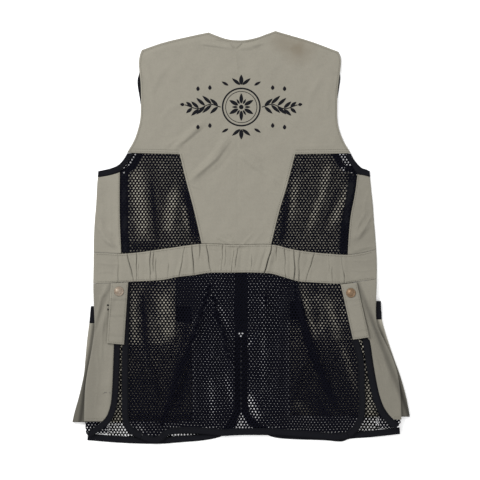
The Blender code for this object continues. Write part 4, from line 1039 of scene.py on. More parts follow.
def gather_height(x, y):
    """How far the cloth stands up between the waistband's gathers at a point."""
    down = np.clip((band_top_y(x) - y) / (band_top_y(x) - band_bottom_y(x)), 0.0, 1.0)
    lines = list(zip(sorted(a for a, _ in GATHERS), sorted(b for _, b in GATHERS)))
    found = np.zeros_like(x)
    for start, end in zip(lines[:-1], lines[1:]):
        a = start[0] * (1 - down) + start[1] * down
        b = end[0] * (1 - down) + end[1] * down
        u = np.clip((x - a) / np.maximum(b - a, 1.0), 0, 1)
        puff = 0.55 * PUFF * np.clip((b - a) / 20.0, 0.35, 1.0)
        found = np.maximum(found, puff * np.sin(np.pi * u) ** 0.8)
    for top, bottom, depth, start, end in PLEATS:
        bend = math.sin(7.3 * top) * np.sin(math.pi * down) + 0.5 * np.sin(9.0 * down + top)
        line = top + (bottom - top) * down + bend
        reach = 0.85 + 0.3 * np.sin(5.0 * down + 3.1 * top)
        reach = reach * ease(down, start - 0.12, start + 0.1) * ease(down, end + 0.12, end - 0.1)
        found = found + 1.5 * depth * reach * np.interp(x - line, PLEAT_ACROSS, PLEAT_HEIGHT)
    from_edge = np.minimum(down, 1 - down) * (band_top_y(x) - band_bottom_y(x))
    puckers = np.sin(x * 2 * math.pi / 6.5 + 2.0 * np.sin(x / 17.0)) * np.exp(-from_edge / 4.0)
    return found + 0.4 * puckers


def waistband():
    """Gathered across the back, flat at the sides, and turned round each side fold."""
    grids = []
    rows = even(30)
    for side in (-1, 1):
        lift = wrapped(side, worn_back, front_level)

        def top_y(w, side=side):
            return band_top_y(side_fold(side, -25.0) - side * abs(w))

        def bottom_y(w, side=side):
            return band_bottom_y(side_fold(side, -82.0) - side * abs(w))

        grids.append(lift(wrap_grid(lambda y: SIDE_SEAM, lambda y: 14.0, BACK_GAP / 2, top_y,
                                    bottom_y, (18, 6), rows)))
    left, right = grids[0][:, -1, :2], grids[1][:, -1, :2]
    ends = (left[0][0], right[0][0])
    close = [row[0] + away for row in PLEATS for away in PLEAT_ACROSS]
    top_x = np.unique(np.round([*np.linspace(*ends, 170), *close], 1))
    top_x = np.array([ends[0], *top_x[(top_x > ends[0] + 0.5) & (top_x < ends[1] - 0.5)], ends[1]])
    lines = sorted(row[:2] for row in PLEATS)
    bottom_x = np.interp(top_x, [ends[0], *(a for a, _ in lines), ends[1]],
                         [left[-1][0], *(b for _, b in lines), right[-1][0]])
    top = np.stack([top_x, band_top_y(top_x)], -1)
    bottom = np.stack([bottom_x, band_bottom_y(bottom_x)], -1)
    middle = between(top, bottom, len(rows) - 1)
    middle[:, 0], middle[:, -1] = left, right
    lift = on(lambda x, y: worn_back(x, y) + gather_height(x, y))
    middle = lift(middle)
    middle[:, 0, 2], middle[:, -1, 2] = grids[0][:, -1, 2], grids[1][:, -1, 2]
    cloth("waistband_cloth", [grids[0], middle, grids[1][:, ::-1]], "khaki_band", "khaki_cotton",
          ("waistband",), rests_on=("front_upper_left", "front_upper_right"),
          end_to_end="across")
    for edge, away in ((BAND_TOP, -3.0), (BAND_BOTTOM, 3.0)):
        run = edge[(edge[:, 0] > side_fold(-1, -50) + 4) & (edge[:, 0] < side_fold(1, -50) - 4)]
        stitch_along(run + np.array([0, away]), lift)


def pouch_level(x, y):
    """The pouch lies on the back's level, and tucks under the waistband at its top."""
    below = band_bottom_y(x) - y
    return worn_back(x, y) - 0.9 * ease(below, 12, 0) + 0.35 * ripple(x, y, 21, 55.0)


def front_opening(x, y):
    """The front's net is drawn together under the pouch, where it lies over the pockets and
    the floor, and open beside it."""
    points = np.stack([x, y], -1)
    within = inside_distance(points, moved_left(rounded(POUCH_EDGE), HEM_TAPE))
    light = 1.9 * sum(ridge(x, y, *row) for row in FRONT_BANDS)
    beside = 0.98 - ease(-y, 316.0, 328.0) * (0.05 + 0.08 * ease(x, -50.0, 50.0))
    over_pocket = ease(np.abs(x), 76.0, 96.0)
    under = 0.32 + over_pocket * (0.38 * ease(y, -148.0, -158.0) - 0.06
                                  - 0.2 * ease(y, -318.0, -334.0))
    share = np.maximum(ease(within, -4.0, 6.0),
                       ease(y, -198.0, -190.0) * ease(-np.abs(x), -206.0, -200.0))
    return np.clip(beside + (under - beside) * share + light, 0.2, 1.05 + 0.15 * (1 - share))


def pouch_opening(x, y):
    """The pouch's net is more open over its centre, and drawn together along its dark folds."""
    centre = ease(-np.abs(x), -92.0, -76.0) * ease(y, -322.0, -308.0)
    return stretch(0.69, POUCH_BANDS)(x, y) + 0.17 * centre


def pouch():
    """Bloused net pouch over the lower back, and the tape that binds its edge."""
    edge = rounded(POUCH_EDGE)
    inner = moved_left(edge, HEM_TAPE)
    xs = np.linspace(inner[-1][0], inner[0][0], 60)
    outline = np.vstack([inner, np.stack([xs, band_bottom_y(xs)], -1)[1:-1]])
    net("pouch_net", outline, on(pouch_level), ("pouch",), reach=4.0, opening=pouch_opening,
        rests_on=("front_lower_left", "front_lower_right"), **POUCH_LATTICE)
    for n, (line, half) in enumerate(PLEAT_STRIPS):
        middle = rounded(line)
        taper = np.sin(np.pi * np.linspace(0.06, 0.94, len(middle)))[:, None] ** 0.6
        off = (moved_left(middle, half) - middle) * taper
        sides = middle + off, (middle - off)[::-1]
        net(f"pouch_pleat_{n}", np.vstack(sides), on(pouch_level, -1.5), (), reach=0.0, slant=0.06,
            seed=3, shift=(2.4, 2.1), opening=stretch(0.6, ()),
            cut=(PLEAT_CUT, length_of(middle)))
    gap = 0.0003
    first, last = POUCH_CORNERS_AT
    for node, start, end, steps in (
        ("pouch_binding_left", 0.0, first - gap, 110),
        ("pouch_hem", first + gap, last - gap, 190),
        ("pouch_binding_right", last + gap, 1.0, 110),
    ):
        strip(node, edge, HEM_TAPE, on(worn_back, TAPE_RISE), steps, start=start, end=end)


# Sides

def side_strips():
    """Cotton strips that turn round each side fold, from the side seam to the net panel."""
    for word, side in SIDES:
        inner = rounded(LOW_ARMHOLE_INNER[word])
        seam = rounded(INSET_OUTER[word][INSET_CORNER:])
        order = np.argsort(inner[:, 0])

        def over(y):
            edge = np.interp(y, seam[::-1, 1], seam[::-1, 0]) + side * SEAM * 1.4
            return side * (side_fold(side, y) - edge)

        def top_y(w):
            if w < 0:
                return 111.3 + seam_rise(side, w)
            x = side_fold(side, 112.0) - side * w
            return np.interp(x, inner[order, 0], inner[order, 1]) - SEAM * 1.8

        def bottom_y(w):
            return band_top_y(side_fold(side, -25.0) - side * abs(w)) + SEAM

        grid = wrap_grid(lambda y: SIDE_SEAM, over, BACK_GAP / 2, top_y, bottom_y, (10, 22),
                         even(56))
        cloth(f"side_{word}_cloth", [wrapped(side, worn_back, front_level)(grid)],
              f"khaki_side_{word}", "khaki_cotton", (f"side_{word}",),
              rests_on=(f"front_upper_{word}",))
        stitch_along(seam[seam[:, 1] > -22] + np.array([side * 3.0, 0]), on(worn_back))


def seam_rise(side, w):
    """How far the pieces at the low armhole climb towards the side seam, on the underside."""
    return SEAM_RISE[side] * ease(-w, 6.0, SIDE_SEAM)


def low_armhole_bindings():
    """Tape round the bottom of each armhole, from the yoke round the side fold to the side seam."""
    radius = BACK_GAP / 2
    for word, side in SIDES:
        curves = rounded(LOW_ARMHOLE_OUTER[word]), rounded(LOW_ARMHOLE_INNER[word])
        grids = []
        for curve in curves:
            upper = at(curve, even(47))
            upper_w = side * (side_fold(side, upper[:, 1]) - upper[:, 0])
            points = [(w, y) for w, y in zip(upper_w, upper[:, 1]) if w > radius + 0.5]
            points += [(radius * k, curve[-1][1]) for k in np.linspace(1, -1, 9)]
            points += [(w, curve[-1][1] + seam_rise(side, w))
                       for w in np.linspace(-radius, -SIDE_SEAM, 13)[1:]]
            grids.append(points)
        count = min(len(g) for g in grids)
        grids = [np.array(points[len(points) - count:]) for points in grids]
        for points, (x, y) in zip(grids, (curve[0] for curve in curves)):
            points[0] = (side * (side_fold(side, y) - x), y)
        lift = wrapped(side, lambda x, y: worn_back(x, y) + TAPE_RISE,
                       lambda x, y: front_level(x, y) + TAPE_RISE)
        cloth(f"armhole_binding_back_{word}_tape", [lift(between(*grids, TAPE_COLUMNS))], "tape",
              "black_tape", (f"armhole_binding_back_{word}",), BINDING)


def hip_top(side, w):
    return band_bottom_y(side_fold(side, -84.0) - side * abs(w)) - SEAM * 1.4


def net_bottom(side, w):
    """Lower edge of the net under the hip: along the front's tape, and higher round the fold."""
    bound = moved_left(rounded(FRONT_EDGE["left" if side < 0 else "right"]), side * HEM_TAPE)
    bound = bound[np.argsort(bound[:, 0])]
    x = side_fold(side, -360.0) - side * (abs(w) + HIP_INSET)
    under = np.interp(x, bound[:, 0], bound[:, 1])
    above = -361.0 if side < 0 else -344.0
    return under + (above - under) * ease(w, -3.0, 3.0)


def hips():
    """Cotton hip panels round each side fold, the net under them, and the tape on their edge."""
    for word, side in SIDES:
        edge = rounded(HIP_EDGE[word])
        width = HIP_TAPE[word]
        sewn = moved_left(edge, side * (width + SEAM))

        def over(y):
            x = np.interp(y, sewn[::-1, 1], sewn[::-1, 0]) + side * 0.2
            x = x - 4.0 * (side > 0) * ease(y, -194.0, -184.0)
            return side * (side_fold(side, y) - x)

        grid = wrap_grid(lambda y: 16.0, over, (BACK_GAP + HIP_SPACE) / 2,
                         lambda w: hip_top(side, w), lambda w: HIP_BOTTOM[word], (6, 24),
                         even(110))
        lift = wrapped(side, worn_back, lambda x, y: front_level(x, y) - HIP_SPACE)
        cloth(f"hip_{word}_cloth", [lift(grid)], f"khaki_hip_{word}", "khaki_cotton",
              (f"hip_{word}",), rests_on=(f"hip_net_{word}",))
        ys = np.linspace(-86.0, net_bottom(side, 9.0), 40)
        inner = np.stack([[max(over(y) - HIP_INSET, 2.5) for y in ys], ys], -1)
        far = SEAM + HIP_INSET - SIDE_SEAM
        ws = np.linspace(3.0, far, 24)
        low = np.stack([ws, [net_bottom(side, w) for w in ws]], -1)
        level = wrapped(side, lambda x, y: front_level(x, y) + HIP_LINING_GAP, front_level,
                        HIP_INSET)
        net(f"hip_net_{word}_cloth", np.vstack([inner, low, [(far, -86.0)]]), level,
            (f"hip_net_{word}",), reach=-1.2, seed=17 + side,
            opening=lambda w, y: np.full(np.shape(w), 0.68))
        below = on(lambda x, y: worn_back(x, y) - 1.5 * (side > 0) * ease(y, -192.0, -184.0),
                   TAPE_RISE)
        strip(f"hip_binding_{word}", edge, side * width, below, 120, start=0.001)
        x = side_fold(side, -325.0)
        run = np.stack([np.linspace(x - side * 4, x - side * float(over(-330)) + side * 3, 12),
                        np.full(12, HIP_BOTTOM[word] + 5.0)], -1)
        stitch_along(run, on(worn_back))


def tabs():
    """A strap folded into a loop over each hip, and the snap that holds it.
    A place on a strap is (u, t): its shares across and along the strap."""
    for word, side in SIDES:
        a, b, c, d = np.array(TAB[word])
        length = np.hypot(*(c - b))
        radius = (TAB_RISE[1] - TAB_RISE[0]) / 2
        end = 1 - radius / length
        path = [(t, 0) for t in np.linspace(0.03, end, 46)]
        path += [(end + radius / length * np.sin(q), (1 - np.cos(q)) / 2)
                 for q in np.radians(np.linspace(0, 180, 10)[1:-1])]
        path += [(t, 1) for t in np.linspace(end, -0.014, 46)]
        us = np.linspace(0, 1, 17)

        def place(u, t):
            return (1 - t) * ((1 - u) * a + u * b) + t * ((1 - u) * d + u * c)

        def height(x, y, u, t, up):
            crumple = sum(size * np.exp(-((t - where) / 0.022) ** 2)
                          for name, where, size in STRAP_CREASES if name == word)
            edge = -0.25 * (abs(2 * u - 1) ** 6)
            puff = 0.25 * math.sin(math.pi * u) + 0.18 * float(ripple(x, y, 31 + side, 22.0))
            rise = TAB_RISE[0] * (1 - up) + TAB_RISE[1] * up
            return float(back_level(x, y)) + rise + up * (crumple + edge + puff)

        grid = [[(*place(u, t), height(*place(u, t), u, t, up)) for u in us] for t, up in path]
        cloth(f"tab_{word}_cloth", [np.array(grid)], "khaki_tab", "khaki_cotton", (f"tab_{word}",),
              rests_on=(f"hip_{word}",), thickness=0.9)

        def lift(line):
            found = []
            for u, t in line:
                x, y = place(u, t)
                found.append((x, y, height(x, y, u, t, 1.0)))
            return np.array(found)

        wide = np.hypot(*(b - a))
        near, far, low, high = 0.09, 0.91, 0.02, 0.975
        for first, last in (((near, low), (near, high)), ((far, low), (far, high)),
                            ((near, high), (far, high))):
            first, last = np.array(first), np.array(last)
            span = np.hypot(*((last - first) * (wide, length)))
            count = int(span / STITCH_PITCH)
            sew(lambda share: lift(first + (last - first) * share[:, None]),
                (np.arange(count) + 0.5) / count, STITCH_LENGTH / 2 / span, HALF)
    for word in SNAPS:
        snap(word, *SNAPS[word])


def snap(word, x, y):
    """A domed cap with a rolled rim, pressed into the strap."""
    base = float(back_level(x, y)) + TAB_RISE[1] + HALF + 0.25
    step = 9.0
    slope_x = float(back_level(x + step, y) - back_level(x - step, y)) / (2 * step)
    slope_y = float(back_level(x, y + step) - back_level(x, y - step)) / (2 * step)
    r, z = (column[:, None] for column in np.array(SNAP_PROFILE).T)
    q = 2 * math.pi * even(64)
    px, py = r * np.cos(q), r * np.sin(q)
    cap = np.stack([x + px, y + py, base + z + slope_x * px + slope_y * py], -1)
    mesh = welded(f"snap_{word}_cap", [cap], 0.0001)
    link(f"snap_{word}_cap", mesh, f"brass_{word}", "snap_brass", (f"snap_{word}",))


# Front

def fronts():
    """Upper fronts of cotton, lower fronts of net, and the tape round the front's free edges."""
    for word, side in SIDES:
        armhole = rounded(FRONT_ARMHOLE[word])
        inner = moved_left(armhole, -side * (BINDING_WIDTH + SEAM))
        seam_y = np.linspace(110.5 + SEAM_RISE[side], WAIST_SEAM_Y, 12)
        seam = np.stack([side_fold(side, seam_y) - side * (SIDE_SEAM + SEAM), seam_y], -1)
        outer = np.vstack([inner, seam])
        centre = np.array([*((side * abs(x), y) for x, y in FRONT_NECK),
                           (side * FRONT_EDGE_X, WAIST_SEAM_Y)])
        start = share_of(centre, centre[2])
        last, turn = share_of(outer, inner[-1]), share_of(outer, seam[0])
        top, bottom = np.array([outer[0], centre[0]]), np.array([outer[-1], centre[-1]])
        grid = coons((top, bottom, outer, centre),
                     (even(56), even(56), paced(outer, (0, last, turn, 1), (84, 8, 40)),
                      paced(centre, (0, start, 1), (60, 72))))
        cloth(f"front_upper_{word}_cloth", [on(worn_front)(grid)], "khaki_inside_painted_light", "khaki_cotton",
              (f"front_upper_{word}",))
        strip(f"armhole_binding_front_{word}", armhole, -side * BINDING_WIDTH,
              on(worn_front, TAPE_RISE), 120)

        edge = rounded(FRONT_EDGE[word])
        edge[:, 0] -= side * 0.6 * ease(-np.abs(edge[:, 0]), -2.5, -1.2)
        strip(f"front_binding_{word}", edge, side * HEM_TAPE, on(front_level, TAPE_RISE), 200)
        inner = moved_left(edge, side * HEM_TAPE)
        inner = inner[np.abs(inner[:, 0]) < abs(side_fold(side, -360.0)) - SIDE_SEAM]
        side_y = np.linspace(inner[-1][1], WAIST_SEAM_Y, 24)
        outer = np.stack([side_fold(side, side_y) - side * SIDE_SEAM, side_y], -1)
        outline = np.vstack([[(side * FRONT_EDGE_X, WAIST_SEAM_Y)], inner, outer])
        net(f"front_lower_{word}_net", outline, on(front_level), (f"front_lower_{word}",),
            reach=2.0, opening=front_opening, look="net_under_painted_light", **POUCH_LATTICE)


def inner_pockets():
    """Cotton pieces between the front's net and the pouch, hung from the waist."""
    for word, _ in SIDES:
        a, b, c, d = INNER_POCKET[word]
        edges = [np.array(edge) for edge in ((a, b), (d, c), (a, d), (b, c))]
        grid = coons(edges, (even(36), even(36), even(50), even(50)))
        cloth(f"inner_pocket_{word}_cloth", [on(front_level, INNER_POCKET_GAP)(grid)],
              "khaki_inside_painted_light", "khaki_cotton", (f"inner_pocket_{word}",), 0.9)


def zip_parts():
    """Closed front zip: its tape and teeth; the box and the slider stay as the solids."""
    half = FRONT_EDGE_X - SEAM
    rows = np.linspace(ZIP_TOP_Y - 4, ZIP_BOTTOM_Y, 130)
    grid = np.array([[(x, y) for x in (-half, -7.0, -2.5, 2.5, 7.0, half)] for y in rows])
    cloth("zip_tape_cloth", [on(front_level)(grid)], "zip", "black_tape", ("zip_tape",), 0.8)
    points, faces = [], []
    for n, y in enumerate(np.arange(ZIP_TOP_Y - 16, ZIP_BOTTOM_Y + 11, -1.35)):
        side = -1 if n % 2 else 1
        z = float(front_level(0.0, y)) + 0.45
        low, high = sorted((-side * 0.7, side * 2.4))
        first = len(points)
        points += [(x, y + dy, z + dz) for dz in (0, 0.8) for x, dy in
                   ((low, -0.5), (high, -0.5), (high, 0.5), (low, 0.5))]
        faces += [tuple(first + v for v in face) for face in
                  ((3, 2, 1, 0), (4, 5, 6, 7), (0, 1, 5, 4), (1, 2, 6, 5), (2, 3, 7, 6),
                   (3, 0, 4, 7))]
    link("zip_teeth", mesh_of("zip_teeth", points, faces, False), "dark_metal", "zip_metal")
    for name in ("zip_box", "zip_slider"):
        for slot in bpy.data.objects[name].material_slots:
            slot.material = LOOKS["metal"]


def bellows():
    """Front pockets whose outer sides fold into three leaves, with a dark band at the mouth."""
    for word, side in SIDES:
        band_y = POCKET_TOP[word] - POCKET_BAND[word]
        for name, top, bottom, rows, look, slot in (
            (f"pocket_band_{word}", POCKET_TOP[word], band_y, 14, "tape", "black_tape"),
            (f"pocket_{word}", band_y - SEAM, POCKET_BOTTOM[word], 80, f"khaki_pocket_{word}",
             "khaki_cotton"),
        ):
            grid = np.array([leaf_section(side, y) for y in np.linspace(top, bottom, rows)])
            cloth(f"{name}_cloth", [grid], look, slot, (name,))


def leaf_section(side, y):
    """The pocket's section at a height, from the top leaf's inner end down to the face."""
    out, fold = float(bellows_fold(side, y)), float(side_fold(side, y))
    levels = [HALF + LEAF * k for k in (3, 2, 1, 0)]
    radius = LEAF / 2
    deep = fold - side * 22.0
    section = [(fold - side * 32.0, levels[0]), (fold - side * 20.0, levels[0]),
               ((fold + out) / 2, levels[0] + 0.2 * float(ripple(out, y, 41, 40.0)))]
    for edge, high, way in ((out, levels[0], -side), (deep, levels[1], side),
                            (out, levels[2], -side)):
        section += [(edge + way * radius * (1 - math.sin(q)), high - radius * (1 - math.cos(q)))
                    for q in np.radians(np.linspace(0, 180, 9))]
    for x in np.append(fold - side * np.array([33.0, 36.0, 39.0, 42.0]),
                       np.linspace(fold - side * 46.0, side * POCKET_INNER_X, 20)):
        lifted = float(front_level(x, y)) - 1.25 - HALF
        section.append((x, HALF + max(lifted, 0.0) * ease(abs(fold - x), 33.0, 43.0)))
    return [(x, y, z) for x, z in section]


# Ornament on the yoke: a ring, a rosette and leafy sprigs, worked in raised black thread

ORNAMENT = (0.5, 241.0)


def thread_patch(left, right):
    """Raised satin stitch between two plane curves of the same number of points."""
    plane = between(left, right, 6).swapaxes(0, 1) + np.array(ORNAMENT)
    top = on(worn_back, HALF + 0.05)(plane)
    top[..., 2] += np.sin(math.pi * even(6)) ** 0.5 * 0.45
    return top, on(worn_back, HALF - 0.15)(plane)


def leaf(base, tip, width, steps=12):
    """The two sides of a pointed leaf."""
    base, tip = np.array(base, float), np.array(tip, float)
    along = np.linspace(0, 1, steps)
    way = (tip - base) / np.hypot(*(tip - base))
    side = np.array([-way[1], way[0]])
    middle = base + (tip - base) * along[:, None]
    half = (width / 2 * np.sin(math.pi * along ** 0.85) ** 0.8)[:, None] * side
    return middle + half, middle - half


def ring(outer, inner, steps=72):
    """A ring's two edges, from their radii."""
    q = np.linspace(0, 2 * math.pi, steps + 1)
    way = np.stack([np.cos(q), np.sin(q)], -1)
    return outer * way, inner * way


def ornament():
    """A medallion with a flower of twelve petals, and a leafy sprig on each side of it."""
    patches = [ring(36, 33), ring(29.5, 28.3), ring(4.2, 0.2, 24)]
    for k in range(12):
        q = math.radians(30 * k)
        way = np.array([math.cos(q), math.sin(q)])
        patches.append(leaf(way * 6.5, way * (25.5 if k % 2 else 17.0), 7.0 if k % 2 else 4.0))
    for side in (-1, 1):
        stem = rounded([(side * 38, 0), (side * 58, 5), (side * 80, -3), (side * 104, 4)])
        patches.append((moved_left(stem, 0.9), moved_left(stem, -0.9)))
        for share, length in ((0.08, 20), (0.26, 23), (0.44, 22), (0.62, 19), (0.8, 15)):
            root = at(stem, np.array([share]))[0]
            for up in (-1, 1):
                tip = root + np.array([side * 0.72, up * 0.69]) * length
                patches.append(leaf(root + np.array([0, up * 1.2]), tip, 6.2))
        tip = stem[-1]
        patches.append(leaf(tip + np.array([side * 1, 0]), tip + np.array([side * 9, 1.5]), 6.0))
        for x, y in ((58, 36), (80, 34), (58, -34), (80, -37)):
            patches.append(leaf((side * x, y - 4.5), (side * x, y + 4.5), 6.5, 7))
    for up in (-1, 1):
        patches.append(leaf((0, up * 41), (0, up * 60), 8.0))
        for way in (-1, 1):
            patches.append(leaf((way * 2, up * 41), (way * 17, up * 53), 6.0))
            patches.append(leaf((way * 24, up * 40), (way * 36, up * 47), 5.0))
    points, faces = [], []
    for left, right in patches:
        for grid, way in zip(thread_patch(left, right), (-1, 1)):
            faces += [face[::way] for face in grid_faces(*grid.shape[:2], len(points))]
            points += grid.reshape(-1, 3).tolist()
    mesh = mesh_of("yoke_ornament", points, faces)
    link("yoke_ornament", mesh, "embroidery", "black_tape")


def marks():
    """Two short bars of dark thread on the left hip, and faint strokes of ink lower on it."""
    for x, y in DARK_MARKS:
        for way in (-1.6, 1.6):
            line = np.array([(x - 2.6, y - way), (x, y), (x + 2.6, y + way)])
            stitch_along(line, on(worn_back), HALF + 0.1, "black", 5.0, 4.8, 0.7)
    for line in PEN_MARKS:
        stitch_along(np.array(line), on(worn_back), HALF + 0.02, "ink", 1.6, 2.0, 0.25)


# Materials

class Look:
    """One procedural material, and the nodes that its parts are built from."""

    def __init__(self, name):
        self.material = bpy.data.materials.new(name)
        self.material.use_nodes = True
        self.tree = self.material.node_tree
        self.shader = self.tree.nodes["Principled BSDF"]
        self.coords = self.node("ShaderNodeTexCoord").outputs["Object"]
        LOOKS[name] = self.material

    def node(self, kind, values=None, **settings):
        made = self.tree.nodes.new(kind)
        for key, value in settings.items():
            setattr(made, key, value)
        for key, value in (values or {}).items():
            if isinstance(value, bpy.types.NodeSocket):
                self.tree.links.new(value, made.inputs[key])
            else:
                made.inputs[key].default_value = value
        return made

    def noise(self, scale, detail=3.0, roughness=0.55):
        return self.node("ShaderNodeTexNoise", {"Vector": self.coords, "Scale": scale,
                                                "Detail": detail, "Roughness": roughness}
                         ).outputs["Fac"]

    def wave(self, period, direction="DIAGONAL", distortion=0.0, profile="SIN"):
        """Bands that repeat after this many millimetres."""
        scale = 2 * math.pi / ((14.142 if direction == "DIAGONAL" else 20.0) * period * MM)
        return self.node("ShaderNodeTexWave", {"Vector": self.coords, "Scale": scale,
                                               "Distortion": distortion, "Detail": 1.0},
                         bands_direction=direction, wave_profile=profile).outputs["Fac"]

    def spread(self, value, low, high, start=0.0, end=1.0):
        return self.node("ShaderNodeMapRange", {"Value": value, "From Min": start, "From Max": end,
                                                "To Min": low, "To Max": high}).outputs["Result"]

    def mix(self, first, second, factor, blend="MIX"):
        made = self.node("ShaderNodeMix", data_type="RGBA", blend_type=blend)
        for index, value in ((0, factor), (6, first), (7, second)):
            if isinstance(value, bpy.types.NodeSocket):
                self.tree.links.new(value, made.inputs[index])
            else:
                made.inputs[index].default_value = value
        return made.outputs[2]

    def add(self, first, second, operation="ADD"):
        return self.node("ShaderNodeMath", {0: first, 1: second}, operation=operation
                         ).outputs[0]

    def bump(self, height, distance, strength=1.0):
        made = self.node("ShaderNodeBump", {"Height": height, "Distance": distance * MM,
                                            "Strength": strength})
        self.tree.links.new(made.outputs["Normal"], self.shader.inputs["Normal"])

    def set(self, **values):
        for key, value in values.items():
            self.shader.inputs[key.replace("_", " ")].default_value = value

    def along(self, way):
        """The place along an axis, or along a direction in the plane."""
        if isinstance(way, int):
            return self.node("ShaderNodeSeparateXYZ", {0: self.coords}).outputs[way]
        return self.node("ShaderNodeVectorMath", {0: self.coords, 1: (*way, 0.0)},
                         operation="DOT_PRODUCT").outputs["Value"]

    def fade(self, base, axis, start, end, left):
        """Darkens the colour along an axis, from start until a share of it is left at end."""
        return self.mix(base, (left, left, left, 1.0),
                        self.spread(self.along(axis), 0.0, 1.0, start * MM, end * MM), "MULTIPLY")

    def colour(self, value):
        self.tree.links.new(value, self.shader.inputs["Base Color"])


COTTON = (0.2220, 0.2082, 0.1715)


def shade(colour, by):
    """A colour with an alpha, lighter or darker and at most white."""
    return (*(min(c * by, 1.0) for c in colour), 1.0)


def khaki(name, colour, stained=False, fades=(), shaded=(), size=26.0):
    """Cotton twill: cloudy wear, diagonal ribs, and loose fibres. Each fade is painted shade, and
    names an axis, two places along it and how much of the colour is left past the second; each
    shaded line is a painted crease shadow, and names its normal, its place along that, its half
    width and how much is left in it."""
    look = Look(name)
    cloudy = look.spread(look.noise(size, 4.0), 0.0, 1.0, 0.3, 0.7)
    base = look.mix(shade(colour, 0.94), shade(colour, 1.01), cloudy)
    mottled = look.spread(look.noise(95.0, 4.0, 0.7), 0.0, 0.16, 0.42, 0.68)
    base = look.mix(base, shade(colour, 0.66), mottled)
    specks = look.spread(look.noise(330.0, 3.0, 0.7), 0.0, 1.0, 0.35, 0.65)
    base = look.mix(base, shade(colour, 1.10), look.spread(specks, 0.0, 0.5))
    twill = look.wave(0.9, "DIAGONAL", 0.6)
    threads = look.noise(1500.0, 2.0)
    base = look.mix(base, shade(colour, 0.74), look.spread(twill, 0.26, 0.0))
    base = look.mix(base, shade(colour, 1.25), look.spread(threads, 0.0, 0.35, 0.45, 0.75))
    # Painted shade: darker along an axis.
    for row in fades:
        base = look.fade(base, *row)
    # Painted crease shadows: darker in a band along a line.
    for way, centre, half, left in shaded:
        off = look.add(look.add(look.along(way), -centre * MM), 0.0, "ABSOLUTE")
        base = look.mix(base, (left, left, left, 1.0),
                        look.spread(off, 1.0, 0.0, half * 0.2 * MM, half * MM), "MULTIPLY")
    if stained:
        for centre, wide, amount in ((STAIN, 14.0, 0.50), (STAIN, 34.0, 0.40),
                                     (STAIN_RUN, 26.0, 0.36)):
            place = look.node("ShaderNodeVectorMath",
                              {0: look.coords, 1: (centre[0] * MM, centre[1] * MM, 0.004)},
                              operation="DISTANCE").outputs["Value"]
            uneven = look.add(place, look.spread(look.noise(70.0), -0.009, 0.009))
            base = look.mix(base, (0.150, 0.126, 0.092, 1.0),
                            look.spread(uneven, amount, 0.0, wide * 0.25 * MM, wide * 1.1 * MM))
    look.colour(base)
    look.set(Roughness=0.95, Sheen_Weight=0.06, Sheen_Roughness=0.6, Specular_IOR_Level=0.12)
    look.bump(look.add(look.spread(twill, 0.0, 0.7), look.spread(threads, 0.0, 0.6)), 0.12)


def dark(name, low, high, rough, ribs, light=0.0, grain=2000.0, blue=1.25, fades=()):
    """Black cloth or thread: ribs this far apart, in two bluish blacks, with paler fibres."""
    look = Look(name)
    bands = look.wave(ribs[0], ribs[1], 1.0)
    fibres = look.noise(grain, 2.0)
    base = look.mix((low * 0.92, low * 0.95, low * blue, 1.0),
                    (high * 0.92, high * 0.95, high * blue, 1.0), bands)
    pale = (high * 2.0, high * 2.05, high * 2.0 * blue, 1.0)
    base = look.mix(base, pale, look.spread(fibres, 0.0, light, 0.5, 0.78))
    # Darker along each fade's axis, which keeps the front net's painted light under the middle of
    # the pouch.
    for row in fades:
        base = look.fade(base, *row)
    look.colour(base)
    look.set(Roughness=rough, Specular_IOR_Level=0.04)
    look.bump(look.add(bands, fibres), 0.12)


def tint(share):
    """The cotton's colour, lighter or darker."""
    return tuple(c * share for c in COTTON)


